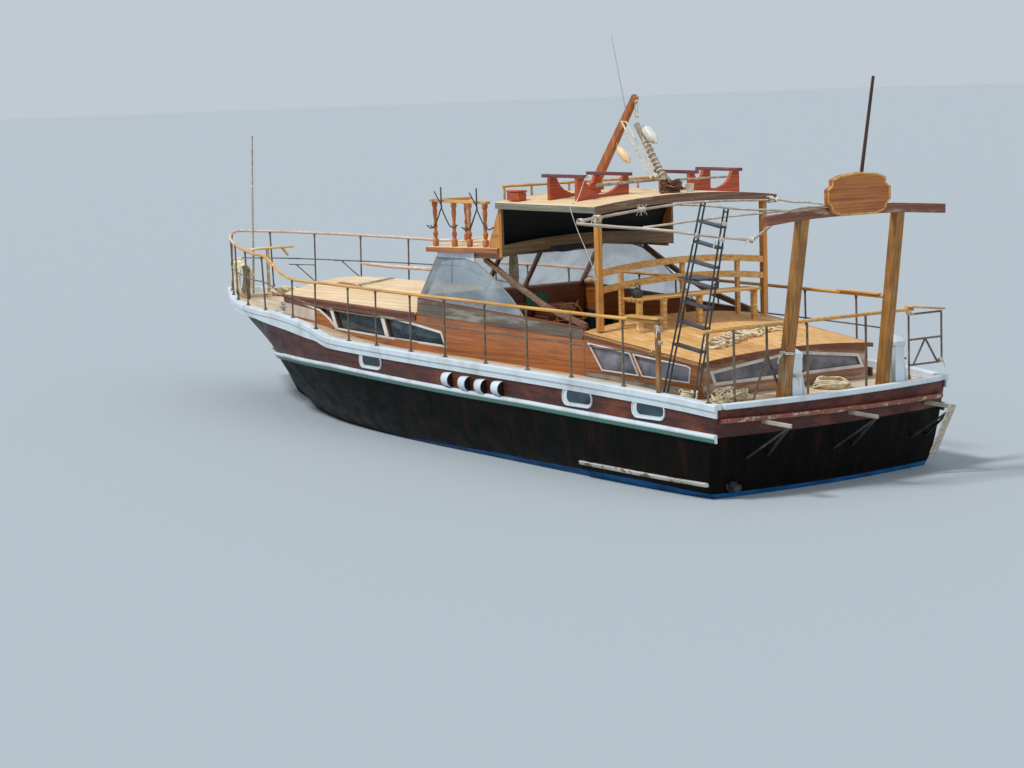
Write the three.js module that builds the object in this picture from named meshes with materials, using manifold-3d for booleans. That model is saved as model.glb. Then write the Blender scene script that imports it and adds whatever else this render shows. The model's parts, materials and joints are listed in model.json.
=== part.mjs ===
// Trawler style wooden motor boat, afloat. Millimetres; +X to the bow, +Y to port, +Z up.
// The origin is amidships on the centreline at the waterline.
import * as THREE from 'three';
import { mergeVertices } from 'three/addons/utils/BufferGeometryUtils.js';
import Module from 'manifold-3d';

const wasm = await Module();
wasm.setup();

// Driving dimensions of the whole boat
const GAP = 0.3;
const TRANSOM_X = -8000;
const TRANSOM_RAKE = 290;
const TRANSOM_BULGE = 170;
const STEM_TIP_X = 8180;
const KEEL_HALF = 70;
const HOUSE_HALF = 1570;
const SIDE_THICK = 45;
const HOUSE_FRONT_X = 4000;
const HOUSE_TAPER = 0.08;
const TRUNK_EDGE_Z = 1900;
const TRUNK_CROWN = 185;
const TOP_THICK = 50;
const SOLE_Z = 800;
const ROOF_HALF = 1570;
const ROOF_CROWN = 100;
const UPPER_ROOF_Z = 3615;
const LOWER_ROOF_Z = 2955;
const LOWER_ROOF_FRONT_Z = 2905;
const RAIL_TOP_Z = 2270;
const RAIL_RADIUS = 24;
const STANCHION_RADIUS = 15;

// Hull stations: x, half breadth, sheer height, deck height, keel height, fullness of the section
const STATIONS = [
  [-8000, 2000, 1240, 1170, -250, 2.5],
  [-7200, 2050, 1290, 1170, -400, 2.2],
  [-6000, 2110, 1335, 1250, -520, 1.8],
  [-4500, 2150, 1370, 1290, -640, 1.4],
  [-3000, 2170, 1390, 1310, -720, 1.15],
  [-1500, 2180, 1410, 1320, -770, 1.0],
  [0, 2160, 1430, 1330, -800, 0.85],
  [1100, 2120, 1450, 1360, -800, 0.7],
  [1900, 2070, 1600, 1410, -790, 0.58],
  [2600, 2000, 1670, 1470, -770, 0.45],
  [3400, 1900, 1700, 1520, -730, 0.28],
  [4200, 1740, 1700, 1560, -650, 0.02],
  [4900, 1540, 1700, 1580, -520, -0.1],
  [5400, 1350, 1700, 1580, -330, -0.17],
  [5830, 1180, 1700, 1590, -20, -0.22],
  [6200, 1010, 1705, 1600, 335, -0.24],
  [6530, 850, 1710, 1610, 615, -0.22],
  [7000, 610, 1715, 1615, 905, -0.2],
  [7400, 400, 1715, 1615, 1110, -0.18],
  [7800, 200, 1710, 1610, 1330, -0.15],
  [8120, 30, 1700, 1600, 1540, 0],
];
const SECTION_STEPS = 9;
const LEVEL_POWER = 1.7;

// Value of one column of a table at x, straight between its rows
function column(table, x, index) {
  if (x <= table[0][0]) return table[0][index];
  for (let i = 1; i < table.length; i += 1) {
    const [a, b] = [table[i - 1], table[i]];
    if (x <= b[0]) {
      return a[index] + ((b[index] - a[index]) * (x - a[0])) / (b[0] - a[0]);
    }
  }
  return table[table.length - 1][index];
}

const halfBreadth = (x) => column(STATIONS, x, 1);
const sheerZ = (x) => column(STATIONS, x, 2);
const deckZ = (x) => column(STATIONS, x, 3);
const keelZ = (x) => column(STATIONS, x, 4);
const fullness = (x) => column(STATIONS, x, 5);

// Half width of the hull at x and height z: hollow flare forward, round amidships, hard bilged aft
function hullY(x, z) {
  const t = Math.min(1, Math.max(0, (z - keelZ(x)) / (deckZ(x) - keelZ(x))));
  const f = fullness(x);
  const power = Math.max(0.2, 0.85 - 0.25 * f);
  return halfBreadth(x) * (1 - (1 - t) ** (1 + 2 * f)) ** power;
}

const level = (x, i) => keelZ(x) + (deckZ(x) - keelZ(x)) * (i / SECTION_STEPS) ** LEVEL_POWER;

// Half width of the planking, straight between the levels of a section
function plankedY(x, z) {
  const t = Math.max(0, (z - keelZ(x)) / (deckZ(x) - keelZ(x)));
  const i = Math.min(SECTION_STEPS - 1, Math.floor(SECTION_STEPS * t ** (1 / LEVEL_POWER)));
  const [low, high] = [hullY(x, level(x, i)), hullY(x, level(x, i + 1))];
  return low + ((high - low) * (z - level(x, i))) / (level(x, i + 1) - level(x, i));
}

// Aft face of the transom, raked forward below and bowed aft in plan
function transomX(y, z) {
  const rake = TRANSOM_RAKE * (1 - z / 1240);
  return TRANSOM_X + rake - TRANSOM_BULGE * (1 - (y / 2000) ** 2);
}

function geometryFrom(points, triangles) {
  const geometry = new THREE.BufferGeometry();
  geometry.setAttribute('position', new THREE.Float32BufferAttribute(points.flat(), 3));
  geometry.setIndex(triangles.flat());
  let volume = 0;
  for (const [a, b, c] of triangles) {
    const [p, q, r] = [points[a], points[b], points[c]];
    volume += p[0] * (q[1] * r[2] - q[2] * r[1]);
    volume -= p[1] * (q[0] * r[2] - q[2] * r[0]);
    volume += p[2] * (q[0] * r[1] - q[1] * r[0]);
  }
  if (volume < 0) geometry.setIndex(triangles.map(([a, b, c]) => [a, c, b]).flat());
  return geometry;
}

function solid(geometry) {
  const bare = geometry.clone();
  bare.deleteAttribute('normal');
  bare.deleteAttribute('uv');
  const merged = mergeVertices(bare, 0.001);
  const corners = merged.index.array;
  const kept = [];
  for (let i = 0; i < corners.length; i += 3) {
    const [a, b, c] = corners.slice(i, i + 3);
    if (a !== b && b !== c && c !== a) kept.push(a, b, c);
  }
  return new wasm.Manifold(new wasm.Mesh({
    numProp: 3,
    vertProperties: new Float32Array(merged.attributes.position.array),
    triVerts: new Uint32Array(kept),
  }));
}

function shell(manifold) {
  const mesh = manifold.getMesh();
  const geometry = new THREE.BufferGeometry();
  geometry.setAttribute('position', new THREE.BufferAttribute(mesh.vertProperties, 3));
  geometry.setIndex(new THREE.BufferAttribute(mesh.triVerts, 1));
  return geometry;
}

function join(...pieces) {
  return shell(pieces.map(solid).reduce((a, b) => a.add(b)));
}

function cut(piece, ...tools) {
  return shell(tools.map(solid).reduce((a, b) => a.subtract(b), solid(piece)));
}

// Closed body through rings of equal point count, with flat end caps
function loft(rings) {
  const count = rings[0].length;
  const points = rings.flat();
  const triangles = [];
  for (let i = 0; i + 1 < rings.length; i += 1) {
    for (let j = 0; j < count; j += 1) {
      const a = i * count + j;
      const b = i * count + ((j + 1) % count);
      triangles.push([a, b, b + count], [a, b + count, a + count]);
    }
  }
  const capAt = (start, flip) => {
    const ring = points.slice(start, start + count).map((p) => new THREE.Vector3(...p));
    const normal = new THREE.Vector3();
    ring.forEach((p, i) => {
      const q = ring[(i + 1) % count];
      normal.add(new THREE.Vector3().crossVectors(p, q));
    });
    const turn = new THREE.Quaternion().setFromUnitVectors(
      normal.normalize(), new THREE.Vector3(0, 0, 1));
    const flat = ring.map((p) => p.clone().applyQuaternion(turn));
    const contour = flat.map((p) => new THREE.Vector2(p.x, p.y));
    for (const [a, b, c] of THREE.ShapeUtils.triangulateShape(contour, [])) {
      triangles.push(flip ? [start + a, start + c, start + b] : [start + a, start + b, start + c]);
    }
  };
  capAt(0, true);
  capAt((rings.length - 1) * count, false);
  return geometryFrom(points, triangles);
}

function box(x0, x1, y0, y1, z0, z1) {
  const geometry = new THREE.BoxGeometry(x1 - x0, y1 - y0, z1 - z0);
  return geometry.translate((x0 + x1) / 2, (y0 + y1) / 2, (z0 + z1) / 2);
}

// Straight bar of rectangular section between two points; wide runs level, deep across it
function bar(from, to, wide, deep, endWide = wide, endDeep = deep) {
  const start = new THREE.Vector3(...from);
  const end = new THREE.Vector3(...to);
  const along = end.clone().sub(start).normalize();
  const upright = Math.abs(along.z) > 0.85;
  const guide = upright ? new THREE.Vector3(1, 0, 0) : new THREE.Vector3(0, 0, 1);
  const side = new THREE.Vector3().crossVectors(guide, along).normalize();
  const up = new THREE.Vector3().crossVectors(along, side);
  const ring = (centre, w, d) => [[1, 1], [-1, 1], [-1, -1], [1, -1]].map(([i, j]) => centre.clone()
    .addScaledVector(side, (i * w) / 2).addScaledVector(up, (j * d) / 2).toArray());
  return loft([ring(start, wide, deep), ring(end, endWide, endDeep)]);
}

// Round rod between two points
function rod(from, to, radius, sides = 8, endRadius = radius) {
  const start = new THREE.Vector3(...from);
  const end = new THREE.Vector3(...to);
  const geometry = new THREE.CylinderGeometry(endRadius, radius, start.distanceTo(end), sides);
  geometry.applyQuaternion(new THREE.Quaternion().setFromUnitVectors(
    new THREE.Vector3(0, 1, 0), end.clone().sub(start).normalize()));
  const middle = start.add(end).multiplyScalar(0.5);
  return geometry.translate(middle.x, middle.y, middle.z);
}

// Round rail through a run of points, mitred at each bend by a loft of its rings
function rail(route, radius, sides = 8) {
  const nodes = route.map((p) => new THREE.Vector3(...p));
  const rings = nodes.map((p, i) => {
    const back = nodes[Math.max(0, i - 1)];
    const ahead = nodes[Math.min(nodes.length - 1, i + 1)];
    const incoming = i > 0 ? p.clone().sub(back).normalize() : ahead.clone().sub(p).normalize();
    const outgoing = i + 1 < nodes.length ? ahead.clone().sub(p).normalize() : incoming;
    const along = incoming.clone().add(outgoing).normalize();
    const spread = 1 / Math.max(0.5, along.dot(incoming));
    const guide = Math.abs(along.z) > 0.9 ? new THREE.Vector3(1, 0, 0) : new THREE.Vector3(0, 0, 1);
    const side = new THREE.Vector3().crossVectors(guide, along).normalize();
    const up = new THREE.Vector3().crossVectors(along, side);
    return Array.from({ length: sides }, (_, k) => {
      const angle = (2 * Math.PI * k) / sides;
      return p.clone().addScaledVector(side, radius * spread * Math.cos(angle))
        .addScaledVector(up, radius * spread * Math.sin(angle)).toArray();
    });
  });
  return loft(rings);
}

// Flat panel drawn in x and z, from y to y + thick
function sidePanel(outline, y, thick) {
  const shape = new THREE.Shape(outline.map(([x, z]) => new THREE.Vector2(x, z)));
  const geometry = new THREE.ExtrudeGeometry(shape, { depth: thick, bevelEnabled: false });
  return geometry.rotateX(Math.PI / 2).translate(0, y + thick, 0);
}

// Flat panel drawn in y and z, from x to x + thick
function crossPanel(outline, x, thick) {
  const shape = new THREE.Shape(outline.map(([y, z]) => new THREE.Vector2(y, z)));
  const geometry = new THREE.ExtrudeGeometry(shape, { depth: thick, bevelEnabled: false });
  geometry.applyMatrix4(new THREE.Matrix4().makeBasis(
    new THREE.Vector3(0, 1, 0), new THREE.Vector3(0, 0, 1), new THREE.Vector3(1, 0, 0)));
  return geometry.translate(x, 0, 0);
}

// Fore and aft wall through stations of x, with rules for its outer face, foot and top
function longWall(xs, outer, thick, foot, top) {
  return loft(xs.map((x) => [
    [x, outer(x) - thick, foot(x)], [x, outer(x), foot(x)],
    [x, outer(x), top(x)], [x, outer(x) - thick, top(x)],
  ]));
}

// Same body on the other side of the centreline
function mirrored(geometry) {
  const copy = geometry.index ? geometry.clone() : mergeVertices(geometry);
  copy.applyMatrix4(new THREE.Matrix4().makeScale(1, -1, 1));
  const index = copy.index.array;
  for (let i = 0; i < index.length; i += 3) {
    [index[i + 1], index[i + 2]] = [index[i + 2], index[i + 1]];
  }
  return copy;
}

// Moves each point by a rule, to bend or slope a flat piece
function bent(geometry, rule) {
  const position = geometry.attributes.position;
  for (let i = 0; i < position.count; i += 1) {
    const moved = rule(position.getX(i), position.getY(i), position.getZ(i));
    position.setXYZ(i, ...moved);
  }
  return geometry;
}

const finishes = {
  topsides: [0x5a2a1c, 0.6, 0], whitePaint: [0xe2e4e2, 0.5, 0], varnish: [0xa4622c, 0.4, 0],
  redStain: [0x9c3f1e, 0.5, 0], deckPlank: [0xe8cda0, 0.7, 0], greyWood: [0x9a9488, 0.8, 0],
  glass: [0x6f8796, 0.1, 0], steel: [0x3c3f42, 0.5, 0.7], bronze: [0x9a7440, 0.4, 0.8],
  engine: [0x58646a, 0.5, 0.4], rope: [0xd9cfb8, 0.9, 0],
};
const boat = new THREE.Group();

function add(name, finish, geometry) {
  const [color, roughness, metalness] = finishes[finish];
  const mesh = new THREE.Mesh(geometry,
    new THREE.MeshStandardMaterial({ color, roughness, metalness }));
  mesh.name = name;
  boat.add(mesh);
  return mesh;
}

// Hull: planked body with a bowed, raked transom, its rooms cut down from the deck, in two bodies
// that meet at the height of the cockpit sole
const TRANSOM_COLUMNS = 8;

function hullBody() {
  const points = [];
  const triangles = [];
  const rows = SECTION_STEPS + 1;
  const sideIndex = STATIONS.map(([x], s) => Array.from({ length: rows }, (_, i) => {
    const z = level(x, i);
    const y = hullY(x, z);
    const at = s === 0 ? transomX(y, z) : x;
    points.push([at, y, z], [at, -y, z]);
    return points.length - 2;
  }));
  for (let s = 0; s + 1 < STATIONS.length; s += 1) {
    for (let i = 0; i + 1 < rows; i += 1) {
      for (const side of [0, 1]) {
        const [a, b] = [sideIndex[s][i] + side, sideIndex[s][i + 1] + side];
        const [c, d] = [sideIndex[s + 1][i + 1] + side, sideIndex[s + 1][i] + side];
        triangles.push(...(side ? [[a, d, c], [a, c, b]] : [[a, b, c], [a, c, d]]));
      }
    }
  }
  const last = STATIONS.length - 1;
  for (let i = 0; i + 1 < rows; i += 1) {
    const [a, b] = [sideIndex[last][i], sideIndex[last][i + 1]];
    triangles.push([a, b, b + 1], [a, b + 1, a + 1]);
  }
  const transom = sideIndex[0].map((edge, i) => Array.from({ length: TRANSOM_COLUMNS + 1 }, (_, k) => {
    if (k === 0) return edge;
    if (k === TRANSOM_COLUMNS) return edge + 1;
    const z = level(TRANSOM_X, i);
    const y = hullY(TRANSOM_X, z) * (1 - (2 * k) / TRANSOM_COLUMNS);
    points.push([transomX(y, z), y, z]);
    return points.length - 1;
  }));
  for (let i = 0; i + 1 < rows; i += 1) {
    for (let k = 0; k < TRANSOM_COLUMNS; k += 1) {
      const [a, b] = [transom[i][k], transom[i][k + 1]];
      const [c, d] = [transom[i + 1][k + 1], transom[i + 1][k]];
      triangles.push([a, b, c], [a, c, d]);
    }
  }
  const top = rows - 1;
  for (let k = 0; k < TRANSOM_COLUMNS; k += 1) {
    const next = k < TRANSOM_COLUMNS / 2 ? 0 : 1;
    triangles.push([transom[top][k], transom[top][k + 1], sideIndex[1][top] + next]);
  }
  const centre = transom[top][TRANSOM_COLUMNS / 2];
  triangles.push([centre, sideIndex[1][top] + 1, sideIndex[1][top]]);
  for (let s = 1; s < last; s += 1) {
    const [a, b] = [sideIndex[s][top], sideIndex[s][top] + 1];
    const [c, d] = [sideIndex[s + 1][top] + 1, sideIndex[s + 1][top]];
    triangles.push([a, b, c], [a, c, d]);
  }
  for (let s = 0; s < last; s += 1) {
    const [a, b] = [sideIndex[s][0], sideIndex[s][0] + 1];
    const [c, d] = [sideIndex[s + 1][0] + 1, sideIndex[s + 1][0]];
    if (points[a][1] > 1e-9 || points[d][1] > 1e-9) triangles.push([a, d, c], [a, c, b]);
  }
  return geometryFrom(points, triangles);
}

// Keel, stern post with the shaft boss, and the shoe under the propeller
const STERN_POST_X = -6250;
const SHAFT_Z = -780;
const SHOE_TOP_Z = -1070;
const KEEL_BOTTOM_Z = -1150;
const keelOutline = [
  [-7100, KEEL_BOTTOM_Z], [-3000, KEEL_BOTTOM_Z], [4300, -900], [5300, -420], [4200, -500],
  [0, -700], [-4500, -500], [STERN_POST_X, -430], [STERN_POST_X, SHOE_TOP_Z], [-7100, SHOE_TOP_Z],
];
const keel = sidePanel(keelOutline, -KEEL_HALF, 2 * KEEL_HALF);
const shaftBoss = rod([STERN_POST_X + 150, 0, SHAFT_Z], [STERN_POST_X - 40, 0, SHAFT_Z], 80, 12, 62);

const COCKPIT = { x0: -4900, x1: -650, half: 1250 };
const ENGINE_PIT = { x0: -4300, x1: -1500, half: 650, z: -380 };
const FORE_ROOM = { x0: -550, x1: 3650, half: 1250, endHalf: 850, z: 100 };
const AFT_ROOM = { x0: -6950, x1: -4990, half: 1250, z: 300 };
const WELL_TOP = 2400;
const DOORWAY_HALF = 300;
const soleBed = box(COCKPIT.x0, COCKPIT.x1, -COCKPIT.half, COCKPIT.half, SOLE_Z, WELL_TOP);
const enginePit = box(ENGINE_PIT.x0, ENGINE_PIT.x1, -ENGINE_PIT.half, ENGINE_PIT.half,
  ENGINE_PIT.z, WELL_TOP);
const foreRoom = loft([FORE_ROOM.z, WELL_TOP].map((z) => [
  [FORE_ROOM.x0, -FORE_ROOM.half, z], [FORE_ROOM.x1, -FORE_ROOM.endHalf, z],
  [FORE_ROOM.x1, FORE_ROOM.endHalf, z], [FORE_ROOM.x0, FORE_ROOM.half, z],
]));
const aftRoom = box(AFT_ROOM.x0, AFT_ROOM.x1, -AFT_ROOM.half, AFT_ROOM.half, AFT_ROOM.z, WELL_TOP);
const passage = box(AFT_ROOM.x1 - 10, FORE_ROOM.x0 + 10, -DOORWAY_HALF, DOORWAY_HALF,
  SOLE_Z, WELL_TOP);
const hull = cut(join(hullBody(), keel, shaftBoss), soleBed, enginePit, foreRoom, aftRoom, passage);
const BEYOND = 9000;
const aboveSole = box(-BEYOND, BEYOND, -BEYOND, BEYOND, SOLE_Z, BEYOND);
const belowSole = box(-BEYOND, BEYOND, -BEYOND, BEYOND, -BEYOND, SOLE_Z + GAP);
add('hull_bottom', 'topsides', cut(hull, aboveSole));
add('hull_topsides', 'topsides', cut(hull, belowSole));

// Propeller: three raked blades on a hub, turning in the stern frame
const PROP_X = -6400;
const PROP_RADIUS = 255;
const HUB_RADIUS = 55;
const hubProfile = [[0, -95], [HUB_RADIUS, -95], [HUB_RADIUS, 60], [30, 100], [0, 100]]
  .map(([r, h]) => new THREE.Vector2(r, h));
const hub = new THREE.LatheGeometry(hubProfile, 12).rotateZ(Math.PI / 2);
const bladeShape = new THREE.Shape();
bladeShape.moveTo(-30, 20);
bladeShape.quadraticCurveTo(-130, 160, -40, PROP_RADIUS - 12);
bladeShape.quadraticCurveTo(0, PROP_RADIUS, 40, PROP_RADIUS - 12);
bladeShape.quadraticCurveTo(130, 160, 30, 20);
const blades = [0, 1, 2].map((k) => {
  const blade = new THREE.ExtrudeGeometry(bladeShape,
    { depth: 16, bevelEnabled: false, curveSegments: 5 });
  blade.translate(0, 0, -8).rotateY(Math.PI / 2 - 0.6);
  return blade.rotateX(Math.PI / 2 + (k * 2 * Math.PI) / 3);
});
add('propeller', 'bronze', join(hub, ...blades)).position.set(PROP_X, 0, SHAFT_Z);

// Rudder: plate blade on a round stock between the hull and the shoe
const RUDDER_X = -6720;
const RUDDER_TOP_Z = -530;
const RUDDER_FOOT_Z = SHOE_TOP_Z + 35;
const rudderBlade = sidePanel([
  [RUDDER_X + 150, RUDDER_FOOT_Z], [RUDDER_X + 150, RUDDER_TOP_Z - 20],
  [RUDDER_X - 380, RUDDER_TOP_Z + 30], [RUDDER_X - 450, RUDDER_FOOT_Z + 120],
  [RUDDER_X - 400, RUDDER_FOOT_Z],
], -22, 44);
const rudderStock = rod([RUDDER_X, 0, SHOE_TOP_Z + 6], [RUDDER_X, 0, -460], 36, 12);
add('rudder', 'steel', join(rudderBlade, rudderStock));

// Engine: one plain block on the floor of its pit, under the cockpit sole
add('engine_block', 'engine', box(-3700, -2400, -330, 330, ENGINE_PIT.z + GAP, 480));
add('cockpit_sole', 'deckPlank', box(COCKPIT.x0 + 5, COCKPIT.x1 - 5, -COCKPIT.half + 5,
  COCKPIT.half - 5, SOLE_Z + GAP, SOLE_Z + 40));

// Helm: console against the bulkhead to starboard, spoked wheel facing aft
const HELM_Y = -780;
const HELM_Z = 1640;
const WHEEL_X = -1230;
add('helm_console', 'varnish', join(
  box(-1060, COCKPIT.x1 - 10, HELM_Y - 300, HELM_Y + 300, SOLE_Z + 41, 1700),
  rod([-1050, HELM_Y, HELM_Z], [-1160, HELM_Y, HELM_Z], 30, 10)));
const spokes = [0, 1, 2].map((k) => {
  const [c, s] = [Math.cos((k * Math.PI) / 3), Math.sin((k * Math.PI) / 3)];
  return rod([0, -330 * c, -330 * s], [0, 330 * c, 330 * s], 12, 6);
});
const wheelRim = new THREE.TorusGeometry(250, 17, 5, 18).rotateY(Math.PI / 2);
add('steering_wheel', 'varnish', join(wheelRim, rod([58, 0, 0], [-50, 0, 0], 38, 12), ...spokes))
  .position.set(WHEEL_X, HELM_Y, HELM_Z);

// Plan route along the hull at a height rule, pushed out square to the planking
const STEM_HALF = 25;
function planRoute(heightAt, out, fromX, toX, aroundBow) {
  const rows = STATIONS.map(([x]) => x).filter((x) => x > fromX && x < toX);
  const xs = [fromX, ...rows, toX];
  const port = xs.map((x) => [x, Math.max(STEM_HALF, plankedY(x, heightAt(x)))]);
  const route = aroundBow
    ? [...port, [STEM_TIP_X, 0], ...port.map(([x, y]) => [x, -y]).reverse()]
    : port;
  return route.map(([x, y], i) => {
    const before = route[Math.max(0, i - 1)];
    const after = route[Math.min(route.length - 1, i + 1)];
    const inward = i > 0 ? [x - before[0], y - before[1]] : [after[0] - x, after[1] - y];
    const onward = i + 1 < route.length ? [after[0] - x, after[1] - y] : inward;
    const [a, b] = [Math.hypot(...inward), Math.hypot(...onward)];
    const normal = [-(inward[1] / a + onward[1] / b), inward[0] / a + onward[0] / b];
    const size = Math.hypot(...normal);
    const mitre = out / Math.max(0.35, size / 2);
    return [x + (normal[0] / size) * mitre, y + (normal[1] / size) * mitre, x];
  });
}

// Gunwale strake and low bulwark: white painted, from quarter to quarter round the bow
const STRAKE_DEPTH = 170;
const STRAKE_PROUD = 45;
const STRAKE_INSET = 16;
const BULWARK_THICK = 85;
const strakeFoot = (x) => Math.min(sheerZ(x) - STRAKE_DEPTH, deckZ(x) - 25);
const strakeEnd = STATIONS[STATIONS.length - 1][0];
const strakeRoutes = [
  [planRoute(strakeFoot, STRAKE_INSET, TRANSOM_X, strakeEnd, true), strakeFoot],
  [planRoute(deckZ, STRAKE_PROUD - 12, TRANSOM_X, strakeEnd, true), strakeFoot],
  [planRoute(deckZ, STRAKE_PROUD, TRANSOM_X, strakeEnd, true), sheerZ],
  [planRoute(deckZ, -BULWARK_THICK, TRANSOM_X, strakeEnd, true), sheerZ],
  [planRoute(deckZ, -BULWARK_THICK, TRANSOM_X, strakeEnd, true), (x) => deckZ(x) + 4],
  [planRoute(deckZ, STRAKE_INSET, TRANSOM_X, strakeEnd, true), (x) => deckZ(x) + 4],
];
add('gunwale_strake', 'whitePaint', loft(strakeRoutes[0][0].map((_, i) => strakeRoutes
  .map(([route, height]) => [route[i][0], route[i][1], height(route[i][2])]))));

// Rub rails and spray battens: strips fastened along the planking, x and top height
const RUB_RAIL = [
  [-7980, 862], [-6845, 900], [-5760, 927], [-4300, 960], [-2600, 975], [-1280, 998], [1060, 1044],
  [2930, 1032], [4200, 965], [5200, 860], [5900, 750], [6360, 640],
];
const SPRAY_RAIL = [[-7750, 222], [-5205, 232]];

const STRIP_INSET = 15;

function strip(table, deep, proud) {
  const top = (x) => column(table, x, 1);
  const foot = (x) => top(x) - deep;
  const [fromX, toX] = [table[0][0], table[table.length - 1][0]];
  const edges = [
    [planRoute(foot, -STRIP_INSET, fromX, toX, false), foot],
    [planRoute(foot, proud, fromX, toX, false), foot],
    [planRoute(top, proud, fromX, toX, false), top],
    [planRoute(top, -STRIP_INSET, fromX, toX, false), top],
  ];
  const blank = loft(edges[0][0].map((_, i) => edges
    .map(([route, height]) => [route[i][0], route[i][1], height(route[i][2])])));
  return cut(blank, hull).translate(0, GAP, 0);
}
const rubRail = strip(RUB_RAIL, 110, 55);
const sprayRail = strip(SPRAY_RAIL, 50, 50);
add('rub_rail_port', 'whitePaint', rubRail);
add('rub_rail_starboard', 'whitePaint', mirrored(rubRail));
add('spray_rail_port', 'greyWood', sprayRail);
add('spray_rail_starboard', 'greyWood', mirrored(sprayRail));

// Transom cap and batten, bowed with the transom
function transomStrip(half, z0, z1, inner, outer) {
  const steps = 10;
  return loft(Array.from({ length: steps + 1 }, (_, k) => {
    const y = half * (1 - (2 * k) / steps);
    return [[inner, z0], [outer, z0], [outer, z1], [inner, z1]]
      .map(([off, z]) => [transomX(y, Math.min(z, 1170)) + off, y, z]);
  }));
}
const BATTEN_SLOPE = 30;
add('transom_cap', 'whitePaint', transomStrip(1900, 1170 + GAP, 1245, 60, -35));
const battenBlank = bent(transomStrip(1940, 965, 1025, 15, -60),
  (x, y, z) => [x, y, z + (BATTEN_SLOPE * y) / 1940]);
add('transom_batten', 'greyWood', cut(battenBlank, hull).translate(-GAP, 0, 0));

// Height of a cambered top's surface: edge height, crown, share of the half width
const camber = (edge, crown, share) => edge + crown * (1 - share * share);
const CAMBER_STEPS = 8;
const camberShares = Array.from({ length: CAMBER_STEPS + 1 }, (_, k) => 1 - (2 * k) / CAMBER_STEPS);

// Cambered top lofted through stations of x, half width, edge height and crown
function camberedTop(stations, thick) {
  return loft(stations.map(([x, half, edge, crown]) => [
    ...camberShares.map((s) => [x, s * half, camber(edge, crown, s)]),
    ...camberShares.map((s) => [x, -s * half, camber(edge, crown, s) - thick]),
  ]));
}

// Cross wall under a cambered top, from a foot height to just below its planks
function bulkhead(x, thick, half, foot, edge, crown, topHalf) {
  const inner = camberShares.map((s) => s * topHalf).filter((y) => Math.abs(y) < half - 1);
  return loft([half, ...inner, -half].map((y) => {
    const top = camber(edge, crown, y / topHalf) - TOP_THICK - 4;
    return [[x, y, foot], [x + thick, y, foot], [x + thick, y, top], [x, y, top]];
  }));
}

// House sides: one long panel from the aft cabin to the fore cabin front
const houseOuter = (x) => HOUSE_HALF - HOUSE_TAPER * Math.max(0, x);
const deckFoot = (x) => deckZ(x) + GAP;
const stationsBetween = (x0, x1, extra = []) => [
  ...new Set([x0, ...STATIONS.map(([x]) => x).filter((x) => x > x0 && x < x1), ...extra, x1]),
].sort((p, q) => p - q);
const TRUNK_UNDER = TRUNK_EDGE_Z - TOP_THICK - 4;
const SIDE_AFT_X = -4700;
const COAMING_TOP = [[SIDE_AFT_X, 1925], [-3320, 1990], [-570, 2110], [-520, TRUNK_UNDER],
  [HOUSE_FRONT_X, TRUNK_UNDER]];
const longWindows = [
  [[3300, 1822], [3300, 1795], [2670, 1715], [2350, 1600], [2120, 1475], [2330, 1822]],
  [[2270, 1822], [2060, 1462], [390, 1455], [560, 1790]],
  [[490, 1782], [320, 1453], [-1290, 1440], [-1180, 1640], [-300, 1730]],
];
const houseBlank = longWall(stationsBetween(SIDE_AFT_X, HOUSE_FRONT_X, [-3320, -570, -520]),
  houseOuter, SIDE_THICK, deckFoot, (x) => column(COAMING_TOP, x, 1));
const houseSide = cut(houseBlank, ...longWindows.map((pane) => sidePanel(pane, 1000, 800)));
add('house_side_port', 'varnish', houseSide);
add('house_side_starboard', 'varnish', mirrored(houseSide));

// Long window panes, one sheet behind each side panel
const PANE_TOP = [[-1350, 1600], [-1200, 1680], [560, 1840], [3400, 1840]];
const PANE_FOOT = [[-1350, 1415], [2080, 1430], [2660, 1690], [3400, 1770]];
const paneOuter = (x) => houseOuter(x) - SIDE_THICK - 2;
const longPane = longWall([-1350, -1200, 0, 560, 2080, 2660, 3400], paneOuter, 6,
  (x) => column(PANE_FOOT, x, 1), (x) => column(PANE_TOP, x, 1));
add('fore_glass_port', 'glass', longPane);
add('fore_glass_starboard', 'glass', mirrored(longPane));

// Fore cabin front and its plank top
const frontHalf = houseOuter(HOUSE_FRONT_X) - SIDE_THICK - 1;
add('fore_cabin_front', 'varnish', bulkhead(HOUSE_FRONT_X - 45, 45, frontHalf,
  deckZ(HOUSE_FRONT_X) + GAP, TRUNK_EDGE_Z, TRUNK_CROWN, houseOuter(4000) + 30));
add('fore_cabin_top', 'deckPlank', camberedTop([
  [-500, HOUSE_HALF + 30, TRUNK_EDGE_Z, TRUNK_CROWN], [0, HOUSE_HALF + 30, TRUNK_EDGE_Z, TRUNK_CROWN],
  [4000, houseOuter(4000) + 30, TRUNK_EDGE_Z, TRUNK_CROWN], [4130, 1000, TRUNK_EDGE_Z, TRUNK_CROWN],
], TOP_THICK));

// Aft cabin: low trunk that falls towards the stern
const AFT_BACK_X = -7050;
const AFT_TOP = { foreX: -4720, aftX: -7110, foreCrown: 130, aftCrown: 75 };
const aftCrown = (x) => AFT_TOP.aftCrown
  + ((AFT_TOP.foreCrown - AFT_TOP.aftCrown) * (x - AFT_TOP.aftX)) / (AFT_TOP.foreX - AFT_TOP.aftX);
const aftEdge = (x) => 1650 + ((x + 7100) * 230) / 2200;
const aftOuter = (x) => HOUSE_HALF + 0.04 * (x - SIDE_AFT_X);
const aftWindow = [
  [[-4800, 1745], [-5080, 1400], [-5830, 1385], [-5660, 1668]],
  [[-5740, 1660], [-5910, 1383], [-6180, 1380], [-6800, 1560]],
];
const aftBlank = longWall(stationsBetween(AFT_BACK_X, SIDE_AFT_X - 5), aftOuter, SIDE_THICK,
  deckFoot, (x) => aftEdge(x) - TOP_THICK - 4);
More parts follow.
